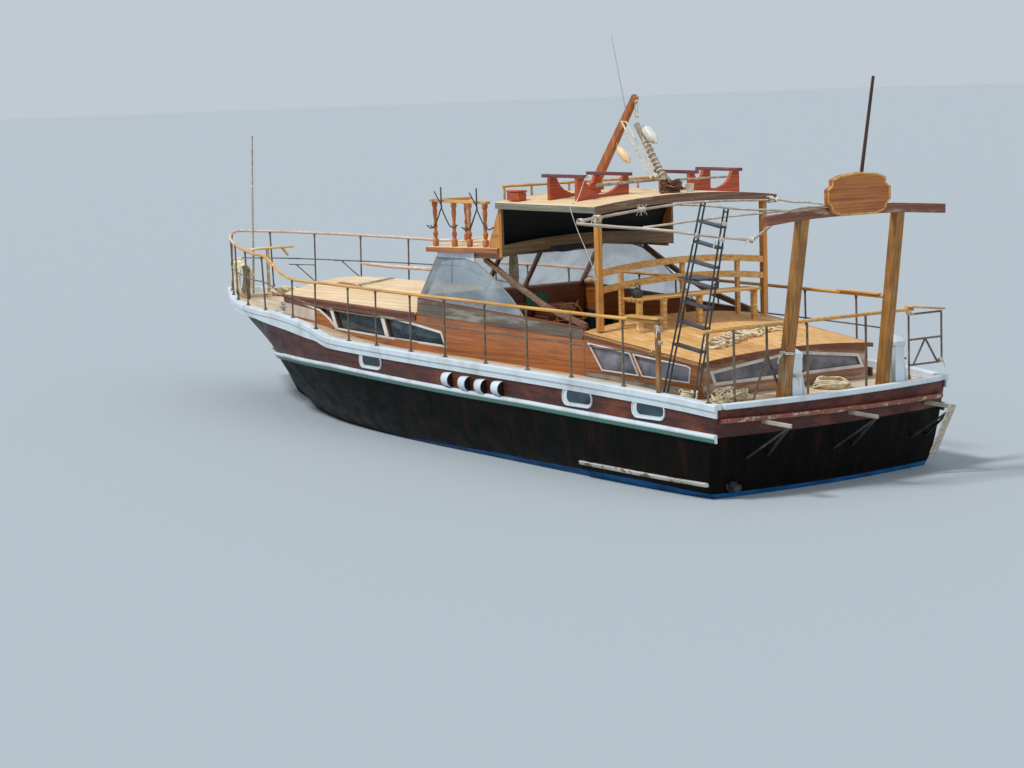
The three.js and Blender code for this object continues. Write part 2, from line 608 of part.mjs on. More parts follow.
const aftSide = cut(aftBlank, ...aftWindow.map((pane) => sidePanel(pane, 1000, 800)));
add('aft_cabin_side_port', 'varnish', aftSide);
add('aft_cabin_side_starboard', 'varnish', mirrored(aftSide));
add('aft_cabin_top', 'deckPlank', camberedTop([
  [AFT_TOP.aftX, aftOuter(AFT_BACK_X) + 30, aftEdge(AFT_TOP.aftX), AFT_TOP.aftCrown],
  [AFT_TOP.foreX, HOUSE_HALF + 30, aftEdge(AFT_TOP.foreX), AFT_TOP.foreCrown],
], TOP_THICK));
const aftHalf = aftOuter(AFT_BACK_X) - SIDE_THICK - 2;
const backWindows = [
  [[1230, 1345], [1290, 1500], [60, 1625], [60, 1345]],
  [[-260, 1345], [-260, 1625], [-1290, 1500], [-1370, 1345]],
];
const backBlank = bulkhead(AFT_BACK_X, 45, aftHalf, deckZ(AFT_BACK_X + 45) + 1,
  aftEdge(AFT_BACK_X), aftCrown(AFT_BACK_X), aftOuter(AFT_BACK_X) + 30);
add('aft_cabin_back', 'varnish', cut(backBlank,
  ...backWindows.map((pane) => crossPanel(pane, AFT_BACK_X - 50, 200))));
const aftFrontX = -4950;
const aftFront = bulkhead(aftFrontX, 40, HOUSE_HALF - SIDE_THICK - 15, 1284,
  aftEdge(aftFrontX), aftCrown(aftFrontX), HOUSE_HALF + 25);
add('aft_cabin_front', 'varnish', cut(aftFront,
  box(aftFrontX - 50, aftFrontX + 90, -DOORWAY_HALF, DOORWAY_HALF, 1200, 1780)));

// Windshield: three raked panes over the front coaming
const SHIELD_FOOT = { x: -570, z: 2115 };
const SHIELD_HEAD = { x: -1090, z: 2775 };
const shieldRun = Math.hypot(SHIELD_HEAD.x - SHIELD_FOOT.x, SHIELD_HEAD.z - SHIELD_FOOT.z);
const SHIELD_HALF = HOUSE_HALF - 60;
const MULLION_Y = 370;
const shieldPanes = [[-SHIELD_HALF + 60, -MULLION_Y - 30], [-MULLION_Y + 30, MULLION_Y - 30],
  [MULLION_Y + 30, SHIELD_HALF - 60]];
const leaning = new THREE.Matrix4().makeBasis(
  new THREE.Vector3(0, 1, 0),
  new THREE.Vector3(SHIELD_HEAD.x - SHIELD_FOOT.x, 0, SHIELD_HEAD.z - SHIELD_FOOT.z).normalize(),
  new THREE.Vector3(SHIELD_HEAD.z - SHIELD_FOOT.z, 0, SHIELD_FOOT.x - SHIELD_HEAD.x).normalize(),
);

function shieldSheet(y0, y1, low, high, thick, back) {
  const shape = new THREE.Shape([[y0, low], [y1, low], [y1, high], [y0, high]]
    .map(([y, s]) => new THREE.Vector2(y, s)));
  const sheet = new THREE.ExtrudeGeometry(shape, { depth: thick, bevelEnabled: false });
  return sheet.translate(0, 0, back).applyMatrix4(leaning)
    .translate(SHIELD_FOOT.x, 0, SHIELD_FOOT.z);
}
const frontCoaming = cut(box(-640, -560, -SHIELD_HALF, SHIELD_HALF, 1334, 2150),
  box(-700, -500, -DOORWAY_HALF, DOORWAY_HALF, 1300, 1860));
const shieldFrame = cut(shieldSheet(-SHIELD_HALF, SHIELD_HALF, 0, shieldRun, 50, -50),
  ...shieldPanes.map(([y0, y1]) => shieldSheet(y0, y1, 60, shieldRun - 70, 200, -150)));
add('windshield_frame', 'varnish', join(frontCoaming, shieldFrame));
add('windshield_glass', 'glass',
  shieldSheet(30 - SHIELD_HALF, SHIELD_HALF - 30, 62, shieldRun - 30, 6, -60));

// Wheelhouse side panes: raked quadrilaterals with a falling aft edge
const sidePaneOutline = [[-600, 2125], [-1110, 2770], [-1840, 2785], [-2100, 2740], [-2560, 2520],
  [-3000, 2250], [-3270, 2010]];
const sidePane = sidePanel(sidePaneOutline, HOUSE_HALF - 30, 8);
add('side_glass_port', 'glass', sidePane);
add('side_glass_starboard', 'glass', mirrored(sidePane));

// Lower roof over the helm with its header boards, panel between the roofs, upper roof
const LOWER_THICK = 75;
const ROOF_THICK = 100;
const PANEL_X = -2750;
const roofSlab = camberedTop([
  [PANEL_X + 3, ROOF_HALF + 40, LOWER_ROOF_Z, ROOF_CROWN],
  [-900, ROOF_HALF + 40, LOWER_ROOF_FRONT_Z, ROOF_CROWN],
], LOWER_THICK);
const frontHeader = loft(camberShares.map((s) => {
  const y = s * 1500;
  const top = camber(LOWER_ROOF_FRONT_Z, ROOF_CROWN, y / (ROOF_HALF + 40)) - 30;
  return [[-1150, y, 2785], [-1105, y, 2785], [-1105, y, top], [-1150, y, top]];
}));
const sideHeader = box(PANEL_X + 10, -1105, 1500, 1540, 2792, 2890);
add('lower_roof', 'deckPlank', join(roofSlab, frontHeader, sideHeader, mirrored(sideHeader)));
const HEADER_Z = 2825;
const HEADER_CROWN = 90;
const FIN_FOOT_X = -2480;
const slabTop = (x, y) => 3 + camber(LOWER_ROOF_Z
  + ((LOWER_ROOF_FRONT_Z - LOWER_ROOF_Z) * (x - PANEL_X)) / (-900 - PANEL_X), ROOF_CROWN,
y / (ROOF_HALF + 40));
const headerBeam = loft(camberShares.map((s) => {
  const foot = camber(HEADER_Z, HEADER_CROWN, s);
  const y = s * ROOF_HALF;
  return [[PANEL_X - 70, y, foot], [PANEL_X, y, foot], [PANEL_X, y, slabTop(PANEL_X, y) + 12],
    [PANEL_X - 70, y, slabTop(PANEL_X, y) + 12]];
}));
const rakedPanel = loft(camberShares.map((s) => {
  const y = s * ROOF_HALF;
  const foot = slabTop(FIN_FOOT_X - 40, y) + 2;
  const top = camber(UPPER_ROOF_Z, ROOF_CROWN, s) - ROOF_THICK - 5;
  return [[FIN_FOOT_X - 40, y, foot], [FIN_FOOT_X, y, foot], [PANEL_X, y, top],
    [PANEL_X - 40, y, top]];
}));
const panelFloor = loft(camberShares.map((s) => {
  const y = s * ROOF_HALF;
  return [[PANEL_X - 70, y, slabTop(PANEL_X, y) + 2], [FIN_FOOT_X - 10, y, slabTop(FIN_FOOT_X, y) + 2],
    [FIN_FOOT_X - 10, y, slabTop(FIN_FOOT_X, y) + 30], [PANEL_X - 70, y, slabTop(PANEL_X, y) + 30]];
}));
const finFoot = slabTop(PANEL_X - 70, ROOF_HALF - 40) + 2;
const endFin = sidePanel([[PANEL_X - 70, finFoot], [FIN_FOOT_X, finFoot],
  [PANEL_X, UPPER_ROOF_Z - ROOF_THICK - 5], [PANEL_X - 70, UPPER_ROOF_Z - ROOF_THICK - 5]],
ROOF_HALF - 40, 40);
add('roof_front_panel', 'varnish',
  join(headerBeam, rakedPanel, panelFloor, endFin, mirrored(endFin)));
add('upper_roof', 'deckPlank', camberedTop([
  [-5080, ROOF_HALF + 30, UPPER_ROOF_Z, ROOF_CROWN],
  [PANEL_X + 30, ROOF_HALF + 30, UPPER_ROOF_Z, ROOF_CROWN],
], ROOF_THICK));

// Braces: sloping boards from the header down to the coaming's aft end
const BRACE_Y = HOUSE_HALF - 100;
const bracePoints = [[-2240, 2790], [-2950, 2480], [-3700, 2190], [-4640, 1975]];
const brace = loft(bracePoints.map(([x, z]) => [
  [x, BRACE_Y - 30, z - 55], [x, BRACE_Y + 30, z - 55], [x, BRACE_Y + 30, z + 20],
  [x, BRACE_Y - 30, z + 20]]));
add('brace_port', 'varnish', brace);
add('brace_starboard', 'varnish', mirrored(brace));

// Roof posts on the aft cabin top, bench back rails with their mid posts, and the bench
const POST_X = -4950;
const POST_Y = 1475;
const POST_HALF = 42;
const postFoot = camber(aftEdge(POST_X), aftCrown(POST_X), (POST_Y - 45) / HOUSE_HALF) + 12;
const roofPost = box(POST_X - POST_HALF, POST_X + POST_HALF, POST_Y - POST_HALF, POST_Y + POST_HALF,
  postFoot, UPPER_ROOF_Z - ROOF_THICK + 8);
add('roof_post_port', 'varnish', roofPost);
add('roof_post_starboard', 'varnish', mirrored(roofPost));
const benchRail = (z) => loft(camberShares.map((s) => {
  const y = s * (POST_Y - POST_HALF - 1);
  const rise = 90 * (1 - s * s);
  return [[POST_X - 40, y, z + rise - 45], [POST_X + 5, y, z + rise - 45],
    [POST_X + 5, y, z + rise + 45], [POST_X - 40, y, z + rise + 45]];
}));
const backPosts = [1080, 0, -1000].map((y) => box(POST_X, POST_X + 50, y - 32, y + 32,
  camber(aftEdge(POST_X + 50), aftCrown(POST_X + 50), Math.max(0, Math.abs(y) - 32) / HOUSE_HALF) + 4,
  2760));
add('bench_back', 'varnish', join(benchRail(2470), benchRail(2700), ...backPosts));
const BENCH = { x0: -5440, x1: -5090, y0: -1000, y1: 1180, z: 2355 };
const benchLegs = [-920, 70, 700, 1120].map((y) => box(-5400, -5330, y - 35, y + 35,
  camber(aftEdge(-5330), aftCrown(-5330), Math.max(0, Math.abs(y) - 36) / HOUSE_HALF) + 6, BENCH.z - 20));
add('bench_seat', 'deckPlank', join(
  box(BENCH.x0, BENCH.x1, BENCH.y0, BENCH.y1, BENCH.z - 45, BENCH.z), ...benchLegs));

// Balustrades on the lower roof: turned spindles under a flat rail, with a short front return
const SPINDLE_PROFILE = [
  [0, 0], [46, 0], [46, 90], [24, 110], [40, 165], [24, 215], [34, 270], [22, 330], [36, 470],
  [30, 540], [44, 560], [44, 620], [0, 620],
].map(([r, h]) => new THREE.Vector2(r, h));
const BALUSTER_Y = ROOF_HALF - 40;
const spindle = (x, y, foot) => new THREE.LatheGeometry(SPINDLE_PROFILE, 6)
  .rotateX(Math.PI / 2).translate(x, y, foot);
const lowerTop = (y) => slabTop(-2640, y);
const balusterFoot = lowerTop(BALUSTER_Y - 50);
const returnRise = lowerTop(BALUSTER_Y - 610) - balusterFoot;
const sideSpindles = [-2360, -1950, -1560, -1060].map((x) => spindle(x, BALUSTER_Y, balusterFoot));
const returnSpindle = spindle(-1060, BALUSTER_Y - 560, balusterFoot + returnRise);
const balustrade = join(
  box(-2440, -970, BALUSTER_Y - 50, BALUSTER_Y + 50, balusterFoot + 600, balusterFoot + 645),
  bent(box(-1110, -1010, BALUSTER_Y - 640, BALUSTER_Y, 600, 645),
    (x, y, z) => [x, y, z + balusterFoot + ((BALUSTER_Y - y) / 560) * returnRise]),
  ...sideSpindles, returnSpindle);
add('balustrade_port', 'varnish', balustrade);
add('balustrade_starboard', 'varnish', mirrored(balustrade));

// Raked mast on the front of the upper roof, with a whip aerial clipped to its head
const roofTop = (y) => camber(UPPER_ROOF_Z, ROOF_CROWN, y / (ROOF_HALF + 30));
const MAST_FOOT = [-2955, 0, roofTop(0) + 55];
const MAST_HEAD = [-3970, 0, 5050];
add('mast', 'redStain', join(
  bar(MAST_FOOT, MAST_HEAD, 85, 130, 75, 85),
  box(-3070, -2800, -90, 90, roofTop(0) + 2, roofTop(0) + 80),
  rod([-3800, 42, 4830], [-3500, 42, 5920], 8, 6)));

// Derrick boom, folded forward against the mast and hinged on a step
const BOOM_PIVOT = [-4610, 0, 3850];
const BOOM_HEAD = [-3970, 0, 4660];
add('boom_step', 'steel', join(
  box(-4680, -4540, -70, 70, roofTop(0) + 2, 3765),
  box(-4660, -4560, 44, 58, 3740, 3890), box(-4660, -4560, -58, -44, 3740, 3890)));
add('boom', 'greyWood', join(bar(BOOM_PIVOT, BOOM_HEAD, 72, 80, 60, 60),
  rod([BOOM_PIVOT[0], -36, BOOM_PIVOT[2]], [BOOM_PIVOT[0], 36, BOOM_PIVOT[2]], 45, 12)));

// Cradles: pairs of scooped boards across the roof, joined by fore and aft bars
const CRADLE_BOARDS = [-3680, -4320];
const CRADLE_THICK = 60;
const CRADLE_RISE = 320;
const CRADLE_BAR = { x0: -4420, x1: -3460, half: 42 };
const SCOOP = [
  [0, 1], [0.14, 1], [0.19, 0.66], [0.28, 0.38], [0.44, 0.14], [0.58, 0.14], [0.73, 0.32],
  [0.84, 0.6], [0.9, 1], [1, 1],
];
function cradle(outerY, innerY) {
  const across = (s) => outerY - (outerY - innerY) * s;
  const topZ = roofTop(outerY) + CRADLE_RISE;
  const footZ = (s) => roofTop(across(s)) + 3;
  const outline = [
    ...SCOOP.map(([s, h]) => [across(s), footZ(s) + (topZ - footZ(s)) * h]),
    ...[1, 0.75, 0.5, 0.25, 0].map((s) => [across(s), footZ(s)]),
  ];
  const boards = CRADLE_BOARDS.map((x) => crossPanel(outline, x, CRADLE_THICK));
  const bars = [0.07, 0.94].map((s) => box(CRADLE_BAR.x0, CRADLE_BAR.x1,
    across(s) - CRADLE_BAR.half, across(s) + CRADLE_BAR.half, topZ - 4, topZ + 42));
  return join(...boards, ...bars);
}
add('cradle_port', 'redStain', cradle(1330, 430));
add('cradle_starboard', 'redStain', mirrored(cradle(1590, 660)));

// Low rail along the front edge of the upper roof
const ROOF_RAIL = { x: -2750, half: 1480, z: 3830 };
add('roof_rail', 'varnish', join(
  rod([ROOF_RAIL.x, ROOF_RAIL.half, ROOF_RAIL.z], [ROOF_RAIL.x, -ROOF_RAIL.half, ROOF_RAIL.z], 22, 6),
  ...[1450, 970, 300, -300, -970, -1450].map((y) => rod([ROOF_RAIL.x, y, roofTop(Math.abs(y) - 20) + 4],
    [ROOF_RAIL.x, y, ROOF_RAIL.z], 20, 6))));

// Guard rails: handrail, middle rail and stanchions, high round the bow, lower along the side
const PULPIT = { tip: 7740, root: 3390, half: 1920, power: 1.295, frontZ: 2740, rootZ: 2580 };
const pulpitY = (x) => PULPIT.half
  * (1 - ((x - PULPIT.root) / (PULPIT.tip - PULPIT.root)) ** PULPIT.power) ** (1 / PULPIT.power);
const pulpitXs = [7700, 7550, 7250, 6800, 6200, 5500, 4700, 4000, 3390];
const pulpitRise = (x) => (x - PULPIT.root) / (PULPIT.tip - PULPIT.root);
const railSideY = (x) => halfBreadth(x) - 30;
const sideRailXs = [2600, 1100, -800, -2600, -4500, -6100, -6920];
const railHeight = (x) => RAIL_TOP_Z + x * 0.008;

function railRoute(share) {
  const height = (x, top) => sheerZ(x) + (top - sheerZ(x)) * share;
  return [
    [PULPIT.tip, 1, height(PULPIT.tip, PULPIT.frontZ)],
    ...pulpitXs.map((x) => [x, pulpitY(x),
      height(x, PULPIT.rootZ + (PULPIT.frontZ - PULPIT.rootZ) * pulpitRise(x))]),
    ...sideRailXs.map((x) => [x, railSideY(x), height(x, railHeight(x))]),
  ];
}
const topRoute = railRoute(1);
const railTopAt = (x) => {
  const table = topRoute.slice(1).reverse();
  return [x, column(table, x, 1), column(table, x, 2)];
};
const STANCHION_XS = [7300, 6500, 5600, 4600, 3600, 2460, 1630, 560, -270, -1240, -2140, -3150,
  -4140, -5120, -6210, -6900];
const stanchions = STANCHION_XS.map((x) => rod([x, halfBreadth(x) - 25, sheerZ(x) + 9],
  railTopAt(x), STANCHION_RADIUS, 5));
const sideRail = cut(
  join(rail(topRoute, RAIL_RADIUS, 6), rail(railRoute(0.52), 11, 4), ...stanchions),
  box(7000, 8000, -500, 5, 1500, 3000));
add('guard_rail_port', 'varnish', sideRail);
add('guard_rail_starboard', 'varnish', mirrored(sideRail));

// Stern rail across the quarterdeck
const STERN_RAIL_X = -7835;
const STERN_RAIL_Z = 2150;
const STERN_FOOT_Z = 1174;
const sternPosts = [2000, 1570, 330, -700].map((y) => rod(
  [STERN_RAIL_X, y, (y > 1900 ? sheerZ(STERN_RAIL_X) + 3 : STERN_FOOT_Z)],
  [STERN_RAIL_X, y, STERN_RAIL_Z], 17, 6));
const FORK = { y: 1020, z: 1760, spread: 260, foot: 1178 };
const QUARTER = { inner: -1480, outer: -2090, top: 2080, middle: 1740, foot: 1400 };
const QUARTER_MID = (QUARTER.inner + QUARTER.outer) / 2;
const QUARTER_LEG = 225;
const sternBars = [
  [[FORK.y, FORK.z - 5], [FORK.y, STERN_RAIL_Z]],
  [[FORK.y, FORK.z], [FORK.y + FORK.spread, FORK.foot]],
  [[FORK.y, FORK.z], [FORK.y - FORK.spread, FORK.foot]],
  [[QUARTER.inner, STERN_FOOT_Z], [QUARTER.inner, STERN_RAIL_Z]],
  [[QUARTER.outer, QUARTER.foot], [QUARTER.outer, QUARTER.top]],
  ...[QUARTER.top, QUARTER.middle, QUARTER.foot].map((z) => [[QUARTER.inner, z], [QUARTER.outer, z]]),
  [[QUARTER_MID, QUARTER.middle], [QUARTER_MID + QUARTER_LEG, QUARTER.foot]],
  [[QUARTER_MID, QUARTER.middle], [QUARTER_MID - QUARTER_LEG, QUARTER.foot]],
].map(([[y0, z0], [y1, z1]]) => rod([STERN_RAIL_X, y0, z0], [STERN_RAIL_X, y1, z1], 15, 6));
add('stern_rail', 'varnish', join(
  rod([STERN_RAIL_X, 2060, STERN_RAIL_Z], [STERN_RAIL_X, -1560, STERN_RAIL_Z], RAIL_RADIUS, 8),
  ...sternPosts, ...sternBars));

// Stern gantry: two raked posts and a cambered beam, the blank name board and the flagstaff
const GANTRY_X = -8360;
const gantryPost = (y0, y1) => bar([-7950, y0, 1190], [GANTRY_X, y1, 3540], 130, 130);
const beamZ = (y) => 3505 + 70 * (1 - (y / 1570) ** 2);
const gantryBeam = loft(camberShares.map((s) => {
  const y = s * 1540 - 50;
  return [[GANTRY_X - 60, y, beamZ(y) - 60], [GANTRY_X + 60, y, beamZ(y) - 60],
    [GANTRY_X + 60, y, beamZ(y) + 60], [GANTRY_X - 60, y, beamZ(y) + 60]];
}));
const boardCleats = [300, -300].map((y) => box(-8430, GANTRY_X, y - 30, y + 30, 3530, 3600));
const flagstaff = rod([-8325, -110, 3600], [-8600, -150, 5250], 26, 8, 20);
add('stern_gantry', 'varnish', join(gantryPost(870, 855), gantryPost(-870, -790), gantryBeam, flagstaff,
  ...boardCleats));
const boardOutline = [
  [-330, 3510], [330, 3510], [470, 3560], [500, 3640], [560, 3690], [560, 3850], [480, 3900],
  [480, 3975], [330, 4025], [0, 4055], [-330, 4025], [-480, 3975], [-480, 3900], [-560, 3850],
  [-560, 3690], [-500, 3640], [-470, 3560],
];
add('name_board', 'varnish', crossPanel(boardOutline, -8476, 45));

// Samson posts beside the gantry, square with pyramid heads
function bollard(y) {
  const ring = (half, z) => [[-1, -1], [1, -1], [1, 1], [-1, 1]]
    .map(([i, j]) => [-7940 + i * half, y + j * half, z]);
  return loft([ring(85, 1172), ring(85, 1700), ring(95, 1710), ring(95, 1770), ring(12, 1850)]);
}
add('bollard_port', 'whitePaint', bollard(680));
add('bollard_starboard', 'whitePaint', bollard(-1130));

// Boarding ladder lashed upright at the port quarter
const LADDER_Y = 1860;
const stiles = [[[-6790, 1215], [-7640, 3750]], [[-7400, 1180], [-8080, 3680]]];
const stileX = ([[x0, z0], [x1, z1]], z) => x0 + ((x1 - x0) * (z - z0)) / (z1 - z0);
const STEP_DROP = 70;
const steps = [1930, 2230, 2490, 2750, 3010, 3260, 3520].map((z) => bar(
  [stileX(stiles[0], z) + 5, LADDER_Y - 5, z], [stileX(stiles[1], z - STEP_DROP) - 5, LADDER_Y - 5,
    z - STEP_DROP], 110, 28));
add('ladder', 'steel', join(...stiles.map(([[x0, z0], [x1, z1]]) => bar(
  [x0, LADDER_Y, z0], [x1, LADDER_Y, z1], 26, 50)), ...steps));

// Awning poles, one across and one aft, lashed together at the port corner of the roof
add('awning_poles', 'greyWood', join(
  rod([-5125, 1880, 3440], [-5125, -1680, 3540], 20, 6),
  rod([-5100, 1880, 3440], [-8080, 1440, 3270], 22, 6)));
add('bow_pole', 'greyWood', rod([7300, 0, 1620], [7095, 0, 4460], 20, 8, 14));

// Rope on the quarterdeck: a round coil to starboard and a loose heap in the port quarter
const QUARTERDECK_Z = 1173;
const COIL = { radius: 210, thick: 55, high: 0.8 };
const coilRing = new THREE.TorusGeometry(COIL.radius, COIL.thick, 6, 18).scale(1, 1, COIL.high);
add('coil_quarterdeck', 'rope', coilRing)
  .position.set(-7470, -430, QUARTERDECK_Z + COIL.thick * COIL.high);
const HEAP = { x: -7430, y: 1340, halfLength: 390, halfWidth: 250, high: 230 };
const heapRing = (share, z) => Array.from({ length: 16 }, (_, k) => {
  const angle = (k * Math.PI) / 8;
  const lump = 1 + 0.07 * Math.sin(3 * angle + 1);
  return [HEAP.halfWidth * share * lump * Math.cos(angle),
    HEAP.halfLength * share * lump * Math.sin(angle), z];
});
add('rope_heap_quarter', 'rope', loft([
  heapRing(0.96, 0), heapRing(1, HEAP.high * 0.2), heapRing(0.86, HEAP.high * 0.55),
  heapRing(0.58, HEAP.high * 0.85), heapRing(0.2, HEAP.high),
])).position.set(HEAP.x, HEAP.y, QUARTERDECK_Z);

// Companionway door on the aft face of the wheelhouse bulkhead, hinged to port
const DOOR = { x0: -697, x1: -660, half: 340, z0: 850, z1: 1895 };
add('companion_door', 'varnish', join(
  box(DOOR.x0, DOOR.x1, -DOOR.half, DOOR.half, DOOR.z0, DOOR.z1),
  rod([DOOR.x0 + 5, -280, 1400], [DOOR.x0 - 45, -280, 1400], 18, 8)));

export default boat;
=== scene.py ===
"""Trawler style wooden motor boat, afloat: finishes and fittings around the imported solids."""
import json
import math

import bmesh
import bpy
import numpy as np
from mathutils import Matrix, Vector


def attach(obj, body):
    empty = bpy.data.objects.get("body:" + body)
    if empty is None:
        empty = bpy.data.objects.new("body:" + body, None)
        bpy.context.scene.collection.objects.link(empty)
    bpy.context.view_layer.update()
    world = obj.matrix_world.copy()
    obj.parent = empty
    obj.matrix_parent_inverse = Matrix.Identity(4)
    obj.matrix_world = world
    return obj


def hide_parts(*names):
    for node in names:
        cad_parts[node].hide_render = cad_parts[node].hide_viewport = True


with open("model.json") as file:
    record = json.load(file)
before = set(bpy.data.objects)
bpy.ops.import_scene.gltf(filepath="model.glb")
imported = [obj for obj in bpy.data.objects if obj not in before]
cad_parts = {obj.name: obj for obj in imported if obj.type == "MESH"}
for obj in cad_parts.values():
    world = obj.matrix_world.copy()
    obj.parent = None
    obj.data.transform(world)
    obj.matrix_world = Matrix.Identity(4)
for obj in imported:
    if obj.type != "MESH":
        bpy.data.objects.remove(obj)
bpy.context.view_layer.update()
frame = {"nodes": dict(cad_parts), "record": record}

# Standpoint, floor and light.
# The boat is seen from a height off her port quarter, through a long lens that is tilted
# slightly. The floor is a pale sheet at the height the boat floats to.
PHOTO_WIDTH = 1024
PHOTO_HEIGHT = 768
FOCAL_PIXELS = 2400
HORIZON_ROW = 75.5
HORIZON_RISE = 31
STANDPOINT = Vector((-30.75, 21.12, 5.39))
HEADING = math.radians(-35.13)
SENSOR_MM = 36
VIEW_DEPTH = 1200

roll = math.atan(HORIZON_RISE / PHOTO_WIDTH)
dip = math.atan((PHOTO_HEIGHT / 2 - HORIZON_ROW) * math.cos(roll) / FOCAL_PIXELS)
ahead = Vector((math.cos(HEADING) * math.cos(dip), math.sin(HEADING) * math.cos(dip), -math.sin(dip)))
level_right = ahead.cross(Vector((0, 0, 1))).normalized()
level_up = level_right.cross(ahead)
right = math.cos(roll) * level_right - math.sin(roll) * level_up
up = math.sin(roll) * level_right + math.cos(roll) * level_up
lens = bpy.data.cameras.new("quarter_view")
lens.sensor_width = SENSOR_MM
lens.lens = SENSOR_MM * FOCAL_PIXELS / PHOTO_WIDTH
lens.clip_end = VIEW_DEPTH


def placed(name, data):
    """New object in the scene."""
    made = bpy.data.objects.new(name, data)
    bpy.context.scene.collection.objects.link(made)
    return made


camera = placed("quarter_view", lens)
camera.matrix_world = Matrix.Translation(STANDPOINT) @ Matrix((right, up, -ahead)).transposed().to_4x4()
bpy.context.scene.camera = camera
bpy.context.scene.view_settings.view_transform = "Standard"


def colour(code):
    """Linear colour of an sRGB hex code."""
    parts = [int(code[i:i + 2], 16) / 255 for i in (0, 2, 4)]
    return [c / 12.92 if c <= 0.04045 else ((c + 0.055) / 1.055) ** 2.4 for c in parts] + [1]


def connect(tree, node, inputs):
    """Sets a node's sockets, or links them to the sockets of other nodes."""
    for socket, value in inputs.items():
        if isinstance(value, bpy.types.NodeSocket):
            tree.links.new(value, node.inputs[socket])
        else:
            node.inputs[socket].default_value = value
    return node


def put(tree, kind, inputs=None, **settings):
    """Adds a node, gives it its settings, and sets or links its sockets."""
    node = tree.nodes.new("ShaderNode" + kind)
    for key, value in settings.items():
        setattr(node, key, value)
    return connect(tree, node, inputs or {})


def new_finish(name):
    """Material with an empty principled shader, and its node tree."""
    finish = bpy.data.materials.new(name)
    finish.use_nodes = True
    return finish, finish.node_tree, finish.node_tree.nodes["Principled BSDF"]


# Pale matt studio floor: one tone, so that the waterline reads clearly.
studio_floor, tree, shader = new_finish("pale_studio_floor")
connect(tree, shader, {"Base Color": colour("a0a8ad"), "Roughness": 0.85})
FLOOR_HALF = 400
floor_mesh = bpy.data.meshes.new("floor")
floor_mesh.from_pydata([(i * FLOOR_HALF, j * FLOOR_HALF, 0) for i, j in
                        ((-1, -1), (1, -1), (1, 1), (-1, 1))], [], [(0, 1, 2, 3)])
floor_mesh.materials.append(studio_floor)
floor = placed("floor", floor_mesh)

world = bpy.data.worlds.new("studio")
world.use_nodes = True
connect(world.node_tree, world.node_tree.nodes["Background"], {"Color": colour("dfe9f2"), "Strength": 0.72})
bpy.context.scene.world = world
for name, sun_from, energy, spread in (("high_port_light", (0.15, 0.62, 1), 2.6, 10),
                                       ("quarter_fill", (-1, -0.2, 0.45), 0.55, 50)):
    sun = bpy.data.lights.new(name, "SUN")
    sun.energy = energy
    sun.angle = math.radians(spread)
    placed(name, sun).rotation_euler = Vector(sun_from).to_track_quat("Z", "Y").to_euler()

# Hull.
# Carvel planked hull on sawn frames, hollow in the bow and hard bilged aft, with a bowed and
# raked transom. The rooms are open to the deck; the planks run from stem to transom.
# Rows: x, half breadth, sheer height, deck height, keel height in metres, fullness.
STATIONS = np.array([
    (-8, 2, 1.24, 1.17, -0.25, 2.5), (-7.2, 2.05, 1.29, 1.17, -0.4, 2.2),
    (-6, 2.11, 1.335, 1.25, -0.52, 1.8), (-4.5, 2.15, 1.37, 1.29, -0.64, 1.4),
    (-3, 2.17, 1.39, 1.31, -0.72, 1.15), (-1.5, 2.18, 1.41, 1.32, -0.77, 1),
    (0, 2.16, 1.43, 1.33, -0.8, 0.85), (1.1, 2.12, 1.45, 1.36, -0.8, 0.7),
    (1.9, 2.07, 1.6, 1.41, -0.79, 0.58), (2.6, 2, 1.67, 1.47, -0.77, 0.45),
    (3.4, 1.9, 1.7, 1.52, -0.73, 0.28), (4.2, 1.74, 1.7, 1.56, -0.65, 0.02),
    (4.9, 1.54, 1.7, 1.58, -0.52, -0.1), (5.4, 1.35, 1.7, 1.58, -0.33, -0.17),
    (5.83, 1.18, 1.7, 1.59, -0.02, -0.22), (6.2, 1.01, 1.705, 1.6, 0.335, -0.24),
    (6.53, 0.85, 1.71, 1.61, 0.615, -0.22), (7, 0.61, 1.715, 1.615, 0.905, -0.2),
    (7.4, 0.4, 1.715, 1.615, 1.11, -0.18), (7.8, 0.2, 1.71, 1.61, 1.33, -0.15),
    (8.12, 0.03, 1.7, 1.6, 1.54, 0)])
TRANSOM_X, STERN_BLEND_X = -8, -7.2
TRANSOM_RAKE, TRANSOM_TOP, TRANSOM_BOW, TRANSOM_HALF = 0.29, 1.24, 0.17, 2
STEM_X, STEM_TIP_X = 8.12, 8.18


def faired(x, index):
    """Fair curve through a column of the station table, with no overshoot between its rows."""
    xs, values = STATIONS[:, 0], STATIONS[:, index]
    slopes = np.diff(values) / np.diff(xs)
    before, after = slopes[:-1], slopes[1:]
    both = before + after
    mean = np.where(before * after > 0, 2 * before * after / np.where(both == 0, 1, both), 0)
    tangents = np.concatenate([slopes[:1], mean, slopes[-1:]])
    x = np.clip(np.asarray(x, float), xs[0], xs[-1])
    i = np.clip(np.searchsorted(xs, x) - 1, 0, len(xs) - 2)
    width = xs[i + 1] - xs[i]
    t = (x - xs[i]) / width
    return (values[i] * (1 + 2 * t) * (1 - t) ** 2 + tangents[i] * width * t * (1 - t) ** 2
            + values[i + 1] * t * t * (3 - 2 * t) + tangents[i + 1] * width * t * t * (t - 1))


def sheer_z(x):
    return faired(x, 2)


def deck_z(x):
    return faired(x, 3)


def hull_y(x, z):
    """Half width of the planking at x and height z."""
    keel, deck, fullness = faired(x, 4), faired(x, 3), faired(x, 5)
    t = np.clip((z - keel) / (deck - keel), 0, 1)
    power = np.maximum(0.2, 0.85 - 0.25 * fullness)
    return faired(x, 1) * (1 - (1 - t) ** (1 + 2 * fullness)) ** power


